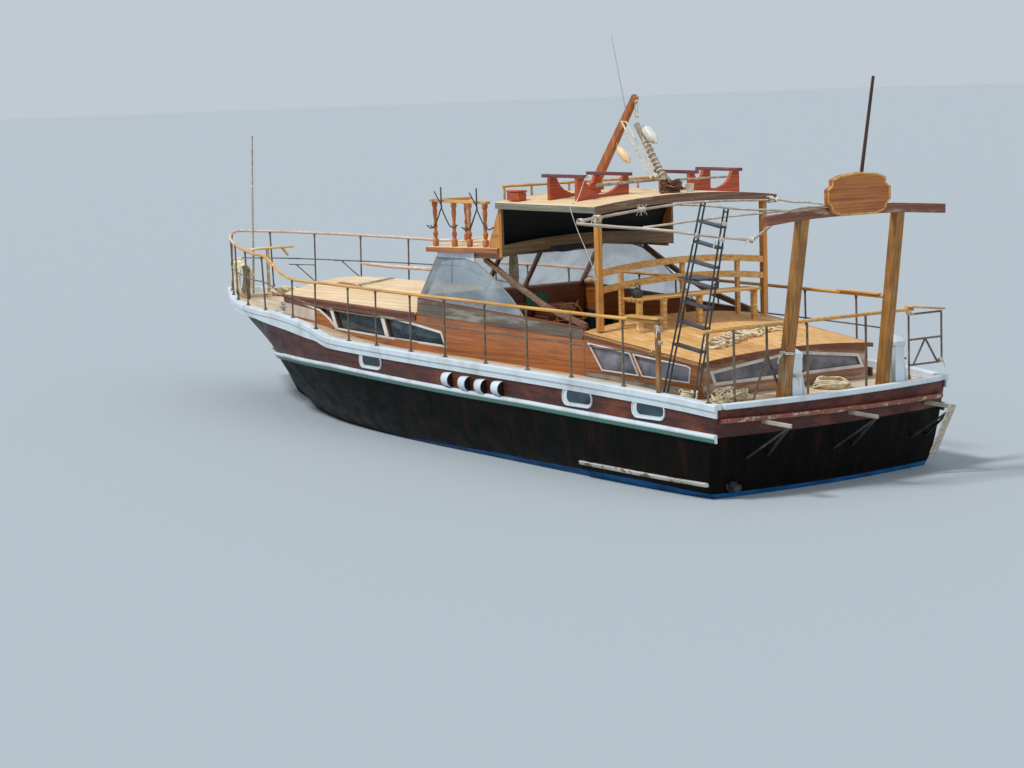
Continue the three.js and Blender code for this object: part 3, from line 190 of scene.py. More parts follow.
def transom_x(y, z):
    """Aft face of the transom, raked forward below and bowed aft in plan."""
    return (TRANSOM_X + TRANSOM_RAKE * (1 - z / TRANSOM_TOP)
            - TRANSOM_BOW * (1 - (y / TRANSOM_HALF) ** 2))


def piece(name, parts, *finishes, body="boat", crease=32, ease=0):
    """Mesh object from parts of corners, faces and finish number, riding on a body."""
    corners, faces, slots = [], [], []
    for part in parts:
        start = len(corners)
        corners += [tuple(p) for p in part[0]]
        faces += [tuple(start + i for i in face) for face in part[1]]
        slot = part[2] if len(part) > 2 else 0
        slots += slot if isinstance(slot, list) else [slot] * len(part[1])
    mesh = bpy.data.meshes.new(name)
    mesh.from_pydata(corners, [], faces)
    for finish in finishes:
        mesh.materials.append(finish)
    mesh.polygons.foreach_set("material_index", slots)
    tidy = bmesh.new()
    tidy.from_mesh(mesh)
    bmesh.ops.remove_doubles(tidy, verts=tidy.verts, dist=1e-5)
    bmesh.ops.recalc_face_normals(tidy, faces=tidy.faces)
    tidy.to_mesh(mesh)
    tidy.free()
    mesh.shade_smooth()
    mesh.set_sharp_from_angle(angle=math.radians(crease))
    made = placed(name, mesh)
    if ease:
        rounding = made.modifiers.new("eased_edges", "BEVEL")
        rounding.width = ease
        rounding.segments = 2
        rounding.limit_method = "ANGLE"
        rounding.angle_limit = math.radians(38)
        rounding.harden_normals = False
    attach(made, body)
    return made


def choose(made, rule):
    """Gives each face of a piece the finish whose number the rule returns."""
    for face in made.data.polygons:
        face.material_index = int(rule(face))


def rings_to_faces(count, size, looped=False, capped=True):
    """Faces between rings of corners: count rings of size corners each."""
    faces = []
    for i in range(count if looped else count - 1):
        for j in range(size):
            k, after = (j + 1) % size, (i + 1) % count
            faces.append((i * size + j, i * size + k, after * size + k, after * size + j))
    if capped and not looped:
        faces += [tuple(range(size))[::-1], tuple((count - 1) * size + j for j in range(size))]
    return faces


STATION_STEPS = 150
LEVEL_STEPS = 36
TRANSOM_STEPS = 24
stations = np.linspace(TRANSOM_X, STEM_X, STATION_STEPS)
shares = (np.arange(LEVEL_STEPS + 1) / LEVEL_STEPS) ** 1.3
keel_line, deck_line = faired(stations, 4)[:, None], faired(stations, 3)[:, None]
heights = keel_line + (deck_line - keel_line) * shares
breadths = hull_y(stations[:, None], heights)
stern_edge = transom_x(breadths[0], heights[0])
blend = np.clip((stations - TRANSOM_X) / (STERN_BLEND_X - TRANSOM_X), 0, 1)[:, None]
lengths = np.where(blend < 1, stern_edge + blend * (STERN_BLEND_X - stern_edge), stations[:, None])
rows = LEVEL_STEPS + 1
hull_corners = [(lengths[s, i], side * breadths[s, i], heights[s, i])
                for side in (1, -1) for s in range(STATION_STEPS) for i in range(rows)]
hull_faces = []
for side in (0, 1):
    for s in range(STATION_STEPS - 1):
        for i in range(LEVEL_STEPS):
            a = (side * STATION_STEPS + s) * rows + i
            hull_faces.append((a, a + 1, a + rows + 1, a + rows))
other = STATION_STEPS * rows
for s in range(1, STATION_STEPS - 1):
    a = s * rows + LEVEL_STEPS
    hull_faces.append((a, a + other, a + other + rows, a + rows))
last = (STATION_STEPS - 1) * rows
hull_faces += [(last + i, last + i + 1, last + other + i + 1, last + other + i)
               for i in range(LEVEL_STEPS)]
columns = []
for i in range(rows):
    row = [i]
    for k in range(1, TRANSOM_STEPS):
        y = breadths[0, i] * (1 - 2 * k / TRANSOM_STEPS)
        hull_corners.append((transom_x(y, heights[0, i]), y, heights[0, i]))
        row.append(len(hull_corners) - 1)
    columns.append(row + [other + i])
for i in range(LEVEL_STEPS):
    for k in range(TRANSOM_STEPS):
        hull_faces.append((columns[i][k], columns[i][k + 1], columns[i + 1][k + 1], columns[i + 1][k]))
hull_faces.append(tuple(columns[-1]) + (other + rows + LEVEL_STEPS, rows + LEVEL_STEPS))

# Oiled and varnished mahogany, dark with age: red brown above the rub rail with sun-bleached
# patches, nearly black below it with a faint upright drip, blue boot-top. The seams are fine
# dark lines, and towards the bow the planks turn teal green: a painted reflection of the sea.
PLANKS_A_SIDE = 17
BOOT_TOP = np.array([(-8, 0.055), (-6.42, 0.105), (-3.17, 0.08), (-0.8, 0.035), (2, -0.03),
                     (8, -0.06)])
RUB_TOP = np.array([(-7.98, 0.862), (-6.845, 0.9), (-5.76, 0.927), (-4.3, 0.96), (-2.6, 0.975),
                    (-1.28, 0.998), (1.06, 1.044), (2.93, 1.032), (4.2, 0.965), (5.2, 0.86),
                    (5.9, 0.75), (6.36, 0.64)])


def on_line(table, x):
    return np.interp(x, table[:, 0], table[:, 1])


def tone_ramp(tree, factor, *stops):
    """Colour that runs through (position, hex) stops as the factor rises."""
    ramp = put(tree, "ValToRGB", {"Fac": factor})
    while len(ramp.color_ramp.elements) < len(stops):
        ramp.color_ramp.elements.new(1)
    for element, (position, code) in zip(ramp.color_ramp.elements, stops):
        element.position = position
        element.color = colour(code)
    return ramp.outputs["Color"]


def over(tree, base, top, share, blend="MIX"):
    """Colour of one coat laid over another by a share; either may be a socket or a hex code."""
    base, top = (c if isinstance(c, bpy.types.NodeSocket) else colour(c) for c in (base, top))
    return put(tree, "Mix", {"Factor": share, 6: base, 7: top}, data_type="RGBA",
               blend_type=blend).outputs[2]


def rise(tree, value, low, high, start=0, end=1):
    """Share that goes from start to end while the value goes from low to high."""
    return put(tree, "MapRange", {"Value": value, "From Min": low, "From Max": high, "To Min": start,
                                  "To Max": end}).outputs["Result"]


def mottle(tree, place, scale, detail=4, rough=0.6):
    """Uneven tone: noise with lumps of 1/scale metres, scaled apart along x, y and z."""
    spread = put(tree, "Mapping", {"Vector": place, "Scale": scale}).outputs["Vector"]
    return put(tree, "TexNoise", {"Vector": spread, "Scale": 1, "Detail": detail,
                                  "Roughness": rough}).outputs["Fac"]


def raise_surface(tree, shader, height, depth):
    """Relief on the shader: depth in metres for a height of 1."""
    bump = put(tree, "Bump", {"Height": height, "Distance": depth, "Strength": 1})
    tree.links.new(bump.outputs["Normal"], shader.inputs["Normal"])


mahogany_planking, tree, shader = new_finish("varnished_mahogany_planking")
place = put(tree, "TexCoord").outputs["Object"]
rub_side, boot_side, plank_run = (put(tree, "Attribute", attribute_name=name).outputs["Fac"]
                                  for name in ("above_rub", "above_boot", "plank"))
grain = mottle(tree, place, (1.1, 9, 26), 5)
seam = rise(tree, put(tree, "Math", {0: plank_run, 1: 0.5}, operation="PINGPONG").outputs[0],
            0, 0.04, 1, 0)
board = put(tree, "Math", {0: plank_run}, operation="FLOOR").outputs[0]
each_plank = put(tree, "TexWhiteNoise", {"W": board}, noise_dimensions="1D").outputs["Value"]
red_wood = tone_ramp(tree, grain, (0.36, "36140f"), (0.68, "61281b"))
red_wood = over(tree, red_wood, "2a100d", rise(tree, each_plank, 0.2, 1, 0, 0.4))
red_wood = over(tree, red_wood, "84421f",
                rise(tree, mottle(tree, place, (1.6, 1.6, 2.6)), 0.5, 0.72, 0, 0.75))
bow_side = put(tree, "SeparateXYZ", {0: place}).outputs["X"]
# Towards the bow the red wood turns teal: a painted reflection of the sea on the varnish.
red_wood = over(tree, red_wood, "0e2423", rise(tree, bow_side, 2.2, 4.8, 0, 0.9))
black_wood = tone_ramp(tree, mottle(tree, place, (7, 7, 0.8)), (0.36, "040706"),
                       (0.56, "0e0b08"), (0.78, "2c150d"))
# The black wood below the rub rail turns teal towards the bow too: a painted reflection of the sea.
black_wood = over(tree, black_wood, "061514", rise(tree, bow_side, -2, 4.5, 0, 0.8))
planked = over(tree, black_wood, red_wood, rise(tree, rub_side, -0.06, -0.05))
planked = over(tree, planked, "070505", rise(tree, seam, 0, 1, 0, 0.55))
blue = tone_ramp(tree, mottle(tree, place, (2.5, 2.5, 9)), (0.35, "123f66"), (0.65, "1f5f93"))
gloss = put(tree, "Math", {0: rise(tree, rub_side, -0.06, -0.05, 0.06, 0.45),
                           1: rise(tree, bow_side, 1.5, 4.5, 1, 0.25)}, operation="MULTIPLY").outputs[0]
connect(tree, shader, {
    "Base Color": over(tree, blue, planked, rise(tree, boot_side, -0.004, 0.004)),
    "Roughness": rise(tree, mottle(tree, place, (3, 3, 5)), 0.3, 0.7, 0.34, 0.6),
    "Specular IOR Level": gloss})
raise_surface(tree, shader, put(tree, "Math", {0: grain, 1: seam}, operation="SUBTRACT").outputs[0], 0.0022)


def timber(name, tones, run="x", worn=None, boards=None, rough=(0.38, 0.62), joint="2a1a10",
           worn_from=0.5, coat=0):
    """Wood finish: grain drawn out along one axis, uneven tone, worn patches and board joints.

    tones runs dark, middle, light; boards is the axis across the boards and their width."""
    made, tree, shader = new_finish(name)
    place = put(tree, "TexCoord").outputs["Object"]
    along, across, fine = 0.9, 16, 42
    scale = {"x": (along, across, fine), "y": (across, along, fine), "z": (across, fine, along)}[run]
    fibres = mottle(tree, place, scale, 6)
    tone = tone_ramp(tree, fibres, (0.3, tones[0]), (0.52, tones[1]), (0.76, tones[2]))
    patches = mottle(tree, place, (1.3, 1.3, 1.9))
    tone = over(tree, tone, tones[0], rise(tree, patches, 0.5, 0.3, 0, 0.55))
    if worn:
        bare = mottle(tree, place, [s * 0.16 + 0.9 for s in scale], 7, 0.68)
        tone = over(tree, tone, worn, rise(tree, bare, worn_from, worn_from + 0.12, 0, 0.85))
    height = fibres
    if boards:
        axis, width = boards
        spot = put(tree, "SeparateXYZ", {0: place}).outputs[axis.upper()]
        count = put(tree, "Math", {0: spot, 1: width}, operation="DIVIDE").outputs[0]
        index = put(tree, "Math", {0: count}, operation="FLOOR").outputs[0]
        each = put(tree, "TexWhiteNoise", {"W": index}, noise_dimensions="1D").outputs["Value"]
        tone = over(tree, tone, tones[0], rise(tree, each, 0.3, 1, 0, 0.5))
        edge = put(tree, "Math", {0: count, 1: 0.5}, operation="PINGPONG").outputs[0]
        gap = rise(tree, edge, 0, 0.006 / width, 1, 0)
        tone = over(tree, tone, joint, rise(tree, gap, 0, 1, 0, 0.8))
        height = put(tree, "Math", {0: fibres, 1: gap}, operation="SUBTRACT").outputs[0]
    connect(tree, shader, {"Base Color": tone, "Roughness": rise(tree, patches, 0.3, 0.7, *rough),
                           "Coat Weight": coat, "Coat Roughness": 0.2})
    raise_surface(tree, shader, height, 0.0016)
    return made


def paintwork(name, code, bare, chips=0.62, dirt="6f6a60", rough=0.45):
    """Brushed oil paint on wood: flaked to the wood in patches, with dirt washed down it."""
    made, tree, shader = new_finish(name)
    place = put(tree, "TexCoord").outputs["Object"]
    flakes = mottle(tree, place, (5, 7, 14), 8, 0.72)
    stains = mottle(tree, place, (2.2, 2.2, 1), 5)
    tone = over(tree, code, dirt, rise(tree, stains, 0.46, 0.74, 0, 0.45))
    flaked = (flakes, chips, chips + 0.03)
    connect(tree, shader, {"Base Color": over(tree, tone, bare, rise(tree, *flaked)),
                           "Roughness": rise(tree, *flaked, rough, 0.8)})
    raise_surface(tree, shader, rise(tree, *flaked, 1, 0), 0.0012)
    return made


# Deck planks are scrubbed pine, pale and dull; the cockpit and rooms have dark stained boards.
scrubbed_deck = timber("scrubbed_pine_deck", ("b59a7c", "d8c0a0", "ecdac0"), worn="c9bcab",
                       boards=("y", 0.095), rough=(0.6, 0.85))
dark_lining = timber("stained_pine_lining", ("2a1a12", "4a2f1e", "63412a"), boards=("z", 0.11))
WELL_HALF, WELL_TOP = 1.25, 2.4
ROOMS = [((-4.9, -0.65), (WELL_HALF, WELL_HALF), 0.8), ((-4.3, -1.5), (0.65, 0.65), -0.38),
         ((-0.55, 3.65), (WELL_HALF, 0.85), 0.1), ((-6.95, -4.99), (WELL_HALF, WELL_HALF), 0.3),
         ((-5, -0.54), (0.3, 0.3), 0.8)]
ROOM_MARGIN, LINING_DEPTH = 0.01, 0.03
GIRTH_COLUMNS, GIRTH_ROWS = 80, 60
hull = piece("planked_hull", [(hull_corners, hull_faces)], mahogany_planking, scrubbed_deck, dark_lining)
for number, ((x0, x1), (half0, half1), foot) in enumerate(ROOMS):
    ring = [(x0, -half0), (x1, -half1), (x1, half1), (x0, half0)]
    room_mesh = bpy.data.meshes.new(f"room_{number}")
    room_mesh.from_pydata([(x, y, z) for z in (foot, WELL_TOP) for x, y in ring], [], rings_to_faces(2, 4))
    room = placed(f"room_{number}", room_mesh)
    opened = hull.modifiers.new("room", "BOOLEAN")
    opened.object = room
    opened.solver = "EXACT"
    bpy.context.view_layer.update()
    evaluated = hull.evaluated_get(bpy.context.evaluated_depsgraph_get())
    cut_mesh = bpy.data.meshes.new_from_object(evaluated)
    hull.modifiers.clear()
    hull.data = cut_mesh
    bpy.data.objects.remove(room)


def hull_finish(face):
    """Deck boards on the deck, lining inside the rooms, planking elsewhere."""
    x, y, z = face.center
    if face.normal.z > 0.9 and z > deck_z(x) - 0.02:
        return 1
    lined = any(x0 - ROOM_MARGIN < x < x1 + ROOM_MARGIN and abs(y) < half + ROOM_MARGIN
                and z > foot - ROOM_MARGIN for (x0, x1), (half, _), foot in ROOMS)
    return 2 if lined and abs(y) < hull_y(x, z) - LINING_DEPTH else 0


choose(hull, hull_finish)
spots = np.array([v.co for v in hull.data.vertices])
girth_x = np.linspace(TRANSOM_X, STEM_X, GIRTH_COLUMNS)
girth_t = np.linspace(0, 1, GIRTH_ROWS)
girth_z = faired(girth_x, 4)[:, None] + (faired(girth_x, 3) - faired(girth_x, 4))[:, None] * girth_t
girth_y = hull_y(girth_x[:, None], girth_z)
steps = np.hypot(np.diff(girth_y, axis=1), np.diff(girth_z, axis=1))
girths = np.concatenate([np.zeros((len(girth_x), 1)), np.cumsum(steps, axis=1)], axis=1)
girths /= girths[:, -1:]
share = (spots[:, 2] - faired(spots[:, 0], 4)) / (faired(spots[:, 0], 3) - faired(spots[:, 0], 4))
column_at = np.round((spots[:, 0] - TRANSOM_X) / (STEM_X - TRANSOM_X) * (GIRTH_COLUMNS - 1))
column_at = np.clip(column_at, 0, GIRTH_COLUMNS - 1).astype(int)
plank_number = np.array([np.interp(s, girth_t, girths[c]) for s, c in zip(share, column_at)])
for name, values in (("above_rub", spots[:, 2] - on_line(RUB_TOP, spots[:, 0])),
                     ("above_boot", spots[:, 2] - on_line(BOOT_TOP, spots[:, 0])),
                     ("plank", plank_number * PLANKS_A_SIDE)):
    hull.data.attributes.new(name, "FLOAT", "POINT").data.foreach_set("value", values.astype(np.float32))
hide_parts("hull_bottom", "hull_topsides")

# Gunwale strake.
# Deep oak strake with a stepped moulding, planed to a low bulwark with a flat cap, fastened
# outside the deck edge from quarter to quarter round the bow. White oil paint, blue with age.
old_white_paint = paintwork("aged_white_oil_paint", "cdd8de", "6b4a36", chips=0.665)


def plan_route(xs, height, out, round_bow=False):
    """Points along the planking at a height rule, pushed out square to it in plan."""
    x, z = np.asarray(xs, float), height(np.asarray(xs, float))
    y = np.maximum(0.025, hull_y(x, z))
    if round_bow:
        x, y = np.concatenate([x, [STEM_TIP_X], x[::-1]]), np.concatenate([y, [0], -y[::-1]])
        z = np.concatenate([z, z[-1:], z[::-1]])
    dx, dy = np.gradient(x), np.gradient(y)
    size = np.hypot(dx, dy)
    return np.stack([x - dy / size * out, y + dx / size * out, z], axis=1)


def carried(edges, looped=False):
    """Body whose long edges are given, as arrays of points of one length."""
    rings = np.stack(edges, axis=1)
    return rings.reshape(-1, 3), rings_to_faces(len(rings), len(edges), looped)


def mirror(parts):
    """Same parts on the other side of the boat."""
    return [(np.asarray(part[0]) * (1, -1, 1), *part[1:]) for part in parts]


def as_drawn(parts):
    """Parts are drawn for the port side, so there they stay as they are."""
    return parts


SIDES = (("port", as_drawn), ("starboard", mirror))


def strake_foot(x):
    return np.minimum(sheer_z(x) - 0.17, deck_z(x) - 0.025)


STRAKE_XS = np.linspace(TRANSOM_X, STEM_X, 200)
STRAKE_MOULD = ((-0.002, -1), (0.024, -1), (0.029, -0.096), (0.045, -0.082), (0.045, -0.016),
                (0.034, 0), (-0.076, 0), (-0.085, -0.01))
strake_edges = []
for out, drop in STRAKE_MOULD:
    on_foot = drop == -1
    route = plan_route(STRAKE_XS, strake_foot if on_foot and out < 0 else deck_z, out, True)
    spread = np.concatenate([STRAKE_XS, [STEM_X], STRAKE_XS[::-1]])
    route[:, 2] = strake_foot(spread) if on_foot else sheer_z(spread) + drop
    strake_edges.append(route)
for out in (-0.085, -0.004):
    route = plan_route(STRAKE_XS, deck_z, out, True)
    route[:, 2] += 0.003
    strake_edges.append(route)
strake = piece("moulded_strake", [carried(strake_edges)], old_white_paint, crease=24)
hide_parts("gunwale_strake")

# Rub rails and spray battens.
# Half-round rub rail of oak from the transom to the stem: white on top and sea green under.
# A short batten low on the quarter turns the spray; its paint has mostly gone.
sea_green_paint = paintwork("sea_green_oil_paint", "3f7566", "59402e", chips=0.68)
bleached_paint = paintwork("flaking_white_paint", "c5c4bd", "7d5a44", chips=0.53)
RUB_XS = np.linspace(-7.98, 6.36, 160)
RUB_MOULD = ((-0.012, -0.001), (0.03, 0), (0.048, -0.008), (0.055, -0.022), (0.055, -0.04),
             (0.046, -0.056), (0.04, -0.061), (0.036, -0.098), (0.026, -0.11), (-0.012, -0.11))
GREEN_FROM = 5
rub_part = carried([plan_route(RUB_XS, lambda x, d=drop: on_line(RUB_TOP, x) + d, out)
                    for out, drop in RUB_MOULD])
rub_slots = [int(k % len(RUB_MOULD) >= GREEN_FROM) for k in range(len(rub_part[1]))]
SPRAY_XS = np.linspace(-7.75, -5.205, 40)
SPRAY_TOP = np.array([(-7.75, 0.222), (-5.205, 0.232)])
SPRAY_MOULD = ((-0.012, 0), (0.044, 0), (0.05, -0.008), (0.05, -0.042), (0.044, -0.05),
               (-0.012, -0.05))
spray_part = carried([plan_route(SPRAY_XS, lambda x, d=drop: on_line(SPRAY_TOP, x) + d, out)
                      for out, drop in SPRAY_MOULD])
for side, place_on in SIDES:
    rub = piece(f"rub_moulding_{side}", place_on([(*rub_part, rub_slots)]), old_white_paint,
                sea_green_paint, crease=28)
    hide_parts(f"rub_rail_{side}")
    spray = piece(f"spray_batten_{side}", place_on([spray_part]), bleached_paint)
    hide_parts(f"spray_rail_{side}")

# Keel, propeller and rudder.
# Oak keel and stern post, three-bladed cast bronze propeller, and a welded plate rudder on a
# round stock. All below the waterline, under the same blue bottom paint.
bottom_paint = paintwork("blue_bottom_paint", "1c4f7c", "2d3a3a", chips=0.64, rough=0.7)


def uneven(name, scale, *stops, detail=4, rough=0.5, alpha=1, relief=0, lay=None, **sockets):
    """Finish whose tone, roughness and clearness follow one noise.

    stops are (position, hex) pairs; rough and alpha are one value, or low, high, start and end.
    The relief follows the noise too, or the lay: the scale, unevenness and axis of its threads."""
    made, tree, shader = new_finish(name)
    place = put(tree, "TexCoord").outputs["Object"]
    surface = mottle(tree, place, scale, detail)
    rough, alpha = (rise(tree, surface, *v) if isinstance(v, tuple) else v for v in (rough, alpha))
    connect(tree, shader, {"Base Color": tone_ramp(tree, surface, *stops), "Roughness": rough,
                           "Alpha": alpha, **sockets})
    if lay:
        surface = put(tree, "TexWave", {"Vector": place, "Scale": lay[0], "Distortion": lay[1]},
                      bands_direction=lay[2]).outputs["Fac"]
    if relief:
        raise_surface(tree, shader, surface, relief)
    return made


# Cast bronze: brown and yellow tarnish with green where the sea keeps it wet, half dulled.
cast_bronze = uneven("cast_bronze", (9, 9, 9), (0.35, "5a4526"), (0.6, "a07a42"), (0.8, "4f6a58"),
                     detail=6, rough=(0.3, 0.7, 0.35, 0.6), Metallic=1)
KEEL_HALF = 0.07
SHAFT_Z = -0.78
STERN_POST_X = -6.25
keel_outline = ((-7.1, -1.15), (-3, -1.15), (4.3, -0.9), (5.3, -0.42), (4.2, -0.5),
                (0, -0.7), (-4.5, -0.5), (STERN_POST_X, -0.43), (STERN_POST_X, -1.07), (-7.1, -1.07))


def slab(outline, low, high, plane="xz"):
    """Flat board: an outline drawn in two axes, given thickness along the third."""
    order = {"xz": (0, 2, 1), "yz": (1, 2, 0), "xy": (0, 1, 2)}[plane]
    corners = []
    for at in (low, high):
        for a, b in outline:
            point = [0, 0, 0]
            point[order[0]], point[order[1]], point[order[2]] = a, b, at
            corners.append(point)
    return corners, rings_to_faces(2, len(outline))


def swept(path, section, guide=(0, 0, 1), looped=False):
    """Section of (side, up) offsets carried along a path, mitred at its bends."""
    path, guide = np.asarray(path, float), np.asarray(guide, float)
    onward = np.roll(path, -1, axis=0) - path
    if not looped:
        onward[-1] = onward[-2]
    onward /= np.linalg.norm(onward, axis=1)[:, None]
    inward = np.roll(onward, 1, axis=0)
    if not looped:
        inward[0] = onward[0]
    run = onward + inward
    run /= np.linalg.norm(run, axis=1)[:, None]
    mitre = 1 / np.maximum(0.45, np.sum(run * onward, axis=1))[:, None]
    sideways = np.cross(run, guide)
    sideways /= np.linalg.norm(sideways, axis=1)[:, None]
    upward = np.cross(sideways, run)
    return carried([path + sideways * mitre * a + upward * b for a, b in section], looped)


def around(count):
    """Angles of corners spaced evenly round a circle."""
    return np.arange(count) * 2 * math.pi / count


def rounded(radius, sides=12, squash=1):
    """Round or oval section."""
    return [(radius * math.cos(t), radius * squash * math.sin(t)) for t in around(sides)]


def rod(start, end, radius, sides=12, squash=1):
    """Straight round bar between two points."""
    run = Vector(end) - Vector(start)
    guide = (1, 0, 0) if abs(run.normalized().z) > 0.8 else (0, 0, 1)
    return swept([start, end], rounded(radius, sides, squash), guide)


def squared(half, low, high, top=None):
    """Four-cornered section: half its width, its height below and above, half its upper width."""
    top = half if top is None else top
    return ((-half, low), (half, low), (top, high), (-top, high))


def plank(start, end, wide, deep, guide=(0, 0, 1)):
    """Straight squared timber between two points; deep runs along the guide."""
    return swept([start, end], squared(wide / 2, -deep / 2, deep / 2), guide)


def turned(profile, centre, sides=20, axis="z"):
    """Lathe-turned body from (radius, height) pairs, with closed ends."""
    corners = []
    for radius, height in profile:
        for t in around(sides):
            spot = (radius * math.cos(t), radius * math.sin(t), height)
            spot = {"z": spot, "x": (spot[2], spot[0], spot[1]), "y": (spot[1], spot[2], spot[0])}[axis]
            corners.append(np.add(centre, spot))
    return corners, rings_to_faces(len(profile), sides)


keel = piece("keel_and_post", [slab(keel_outline, -KEEL_HALF, KEEL_HALF), turned(
    ((0.085, -0.15), (0.083, 0), (0.062, 0.19)), (STERN_POST_X, 0, SHAFT_Z), axis="x")], bottom_paint,
             ease=0.012)
BLADE_ROWS = ((0.045, 0.1, 0.95), (0.1, 0.17, 0.8), (0.16, 0.215, 0.62), (0.21, 0.2, 0.52),
              (0.24, 0.13, 0.46), (0.254, 0.03, 0.43))
prop_parts = [turned(((0.03, -0.095), (0.053, -0.08), (0.055, 0.05), (0.04, 0.085), (0.022, 0.1)),
                     (0, 0, 0), axis="x")]
for blade in range(3):
    rings = []
    for radius, chord, pitch in BLADE_ROWS:
        thick = 0.018 * (1 - radius / 0.3)
        ring = []
        for a, b in ((-0.5, 0), (-0.25, 0.8), (0.2, 1), (0.5, 0), (0.2, -1), (-0.25, -0.8)):
            along, off = a * chord, b * thick / 2
            fore = along * math.sin(pitch) + off * math.cos(pitch)
            swing = along * math.cos(pitch) - off * math.sin(pitch)
            reach = math.sqrt(max(radius ** 2 - swing ** 2, 0.02 ** 2))
            turn = blade * 2 * math.pi / 3
            ring.append((fore * 0.9, reach * math.cos(turn) - swing * math.sin(turn),
                         reach * math.sin(turn) + swing * math.cos(turn)))
        rings.append(ring)
    prop_parts.append((np.array(rings).reshape(-1, 3), rings_to_faces(len(rings), 6)))
PROP_X = -6.4
screw = piece("cast_propeller", [(np.add(np.array(corners), (PROP_X, 0, SHAFT_Z)), faces)
                                 for corners, faces in prop_parts], cast_bronze, body="propeller")
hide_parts("propeller")


def eased_copy(node, width, *finishes, name=None):
    """Node's own solid with its long edges eased by a plane, standing in its place."""
    source = frame["nodes"][node]
    work = bmesh.new()
    work.from_mesh(source.data)
    bmesh.ops.remove_doubles(work, verts=work.verts, dist=1e-5)
    bmesh.ops.dissolve_limit(work, angle_limit=math.radians(1.5), verts=work.verts, edges=work.edges)
    part = ([v.co.copy() for v in work.verts], [tuple(v.index for v in f.verts) for f in work.faces])
    work.free()
    body = next(b for b, names in frame["record"]["behaviour"]["bodies"].items() if node in names)
    made = piece(name or f"{node}_timber", [part], *finishes, body=body, ease=width)
    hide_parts(node)
    return made


eased_copy("rudder", 0.006, bottom_paint)

# Portlights and vents.
# Oblong portlights with cast frames under white paint, three a side, and clamshell vents of
# pressed sheet in a row amidships, open aft. All are screwed to the topside planks.
# Window glass over dark rooms shows nearly black, with a smear of grey blue.
dark_pane = uneven("dark_window_glass", (1.5, 1.5, 4), (0.45, "152129"), (0.7, "35505d"), rough=0.08,
                   IOR=1.52)
# The vent mouths are closed by a near black sheet: painted shade inside the vents.
vent_shade_sheet = uneven("vent_mouth_painted_shade", (20, 20, 20), (0, "050505"), (1, "15110e"), rough=0.9)


def unit(vector):
    """Vector of length 1."""
    return np.asarray(vector, float) / np.linalg.norm(vector)


def on_side(x, z):
    """Function that lays local along, up and out measures on the planking at x and z."""
    step = 0.05
    spot = np.array((x, float(hull_y(x, z)), z))
    along = unit((2 * step, float(hull_y(x + step, z) - hull_y(x - step, z)), 0))
    rising = unit((0, float(hull_y(x, z + step) - hull_y(x, z - step)), 2 * step))
    outward = np.cross(rising, along)
    return (lambda a, b, c: spot + along * a + rising * b + outward * c), outward


def oblong(width, height, corner, sides=8):
    """Outline of a rounded rectangle, as (along, up) pairs."""
    points = []
    for i, j, start in ((1, 1, 0), (-1, 1, 90), (-1, -1, 180), (1, -1, 270)):
        for k in range(sides):
            t = math.radians(start + 90 * k / (sides - 1))
            points.append((i * (width / 2 - corner) + corner * math.cos(t),
                           j * (height / 2 - corner) + corner * math.sin(t)))
    return points


PORTLIGHTS = ((-0.122, 1.184), (-5.276, 1.094), (-6.724, 1.066))
VENTS = ((-2.223, 1.092), (-2.653, 1.071), (-3.049, 1.063), (-3.46, 1.07))
VENT_LONG, VENT_HALF, VENT_DEEP, VENT_STEPS, VENT_SIDES = 0.26, 0.105, 0.095, 8, 13
FRAME_SECTION = ((-0.01, -0.014), (0.01, -0.014), (0.01, 0.006), (0.004, 0.01), (-0.004, 0.01),
                 (-0.01, 0.006))
PLATE_TOP = 0.012
light_parts, vent_parts = [], []
for x, z in PORTLIGHTS:
    lay, outward = on_side(x, z)
    edge, glass = oblong(0.62, 0.22, 0.095), oblong(0.515, 0.165, 0.07)
    # The glass sits off centre in the white plate: the wide white margin on the fore and lower sides stands
    # for the lit inner wall of a deep recess, and the dark glass reaching the after and upper edges is
    # painted shade of that wall.
    light_parts += [
        ([lay(a, b, out) for out in (-0.004, PLATE_TOP) for a, b in edge], rings_to_faces(2, len(edge))),
        swept([lay(a, b, PLATE_TOP) for a, b in edge], FRAME_SECTION, outward, looped=True),
        ([lay(a - 0.04, b + 0.018, PLATE_TOP + 0.0045) for a, b in glass], [tuple(range(len(glass)))], 1)]
half_turn = np.linspace(-math.pi / 2, math.pi / 2, VENT_SIDES)
for x, z in VENTS:
    lay, outward = on_side(x, z)
    shell = []
    for i in range(VENT_STEPS + 1):
        along = 1 - i / VENT_STEPS
        swell = math.sqrt(max(0, 1 - along ** 2.4))
        shell += [lay(-VENT_LONG / 2 + along * VENT_LONG, VENT_HALF * math.sin(t) * (0.62 + 0.38 * swell),
                      -0.004 + (0.012 + VENT_DEEP * swell) * math.cos(t)) for t in half_turn]
    starts = [i * VENT_SIDES + j for i in range(VENT_STEPS) for j in range(VENT_SIDES - 1)]
    # Flat sheet across the vent's mouth, near black as painted shade.
    mouth = [lay(-VENT_LONG / 2 + 0.016, (VENT_HALF - 0.006) * math.sin(t),
                 0.002 + (VENT_DEEP - 0.004) * math.cos(t)) for t in half_turn]
    vent_parts += [(shell, [(a + 1, a, a + VENT_SIDES, a + VENT_SIDES + 1) for a in starts]),
                   (mouth, [tuple(range(VENT_SIDES))], 1)]
for side, place_on in SIDES:
    lights = piece(f"portlights_{side}", place_on(light_parts), old_white_paint, dark_pane)
    vents = piece(f"clamshell_vents_{side}", place_on(vent_parts), old_white_paint, vent_shade_sheet)
    thickness = vents.modifiers.new("sheet_thickness", "SOLIDIFY")
    thickness.thickness = 0.004
    thickness.offset = 0

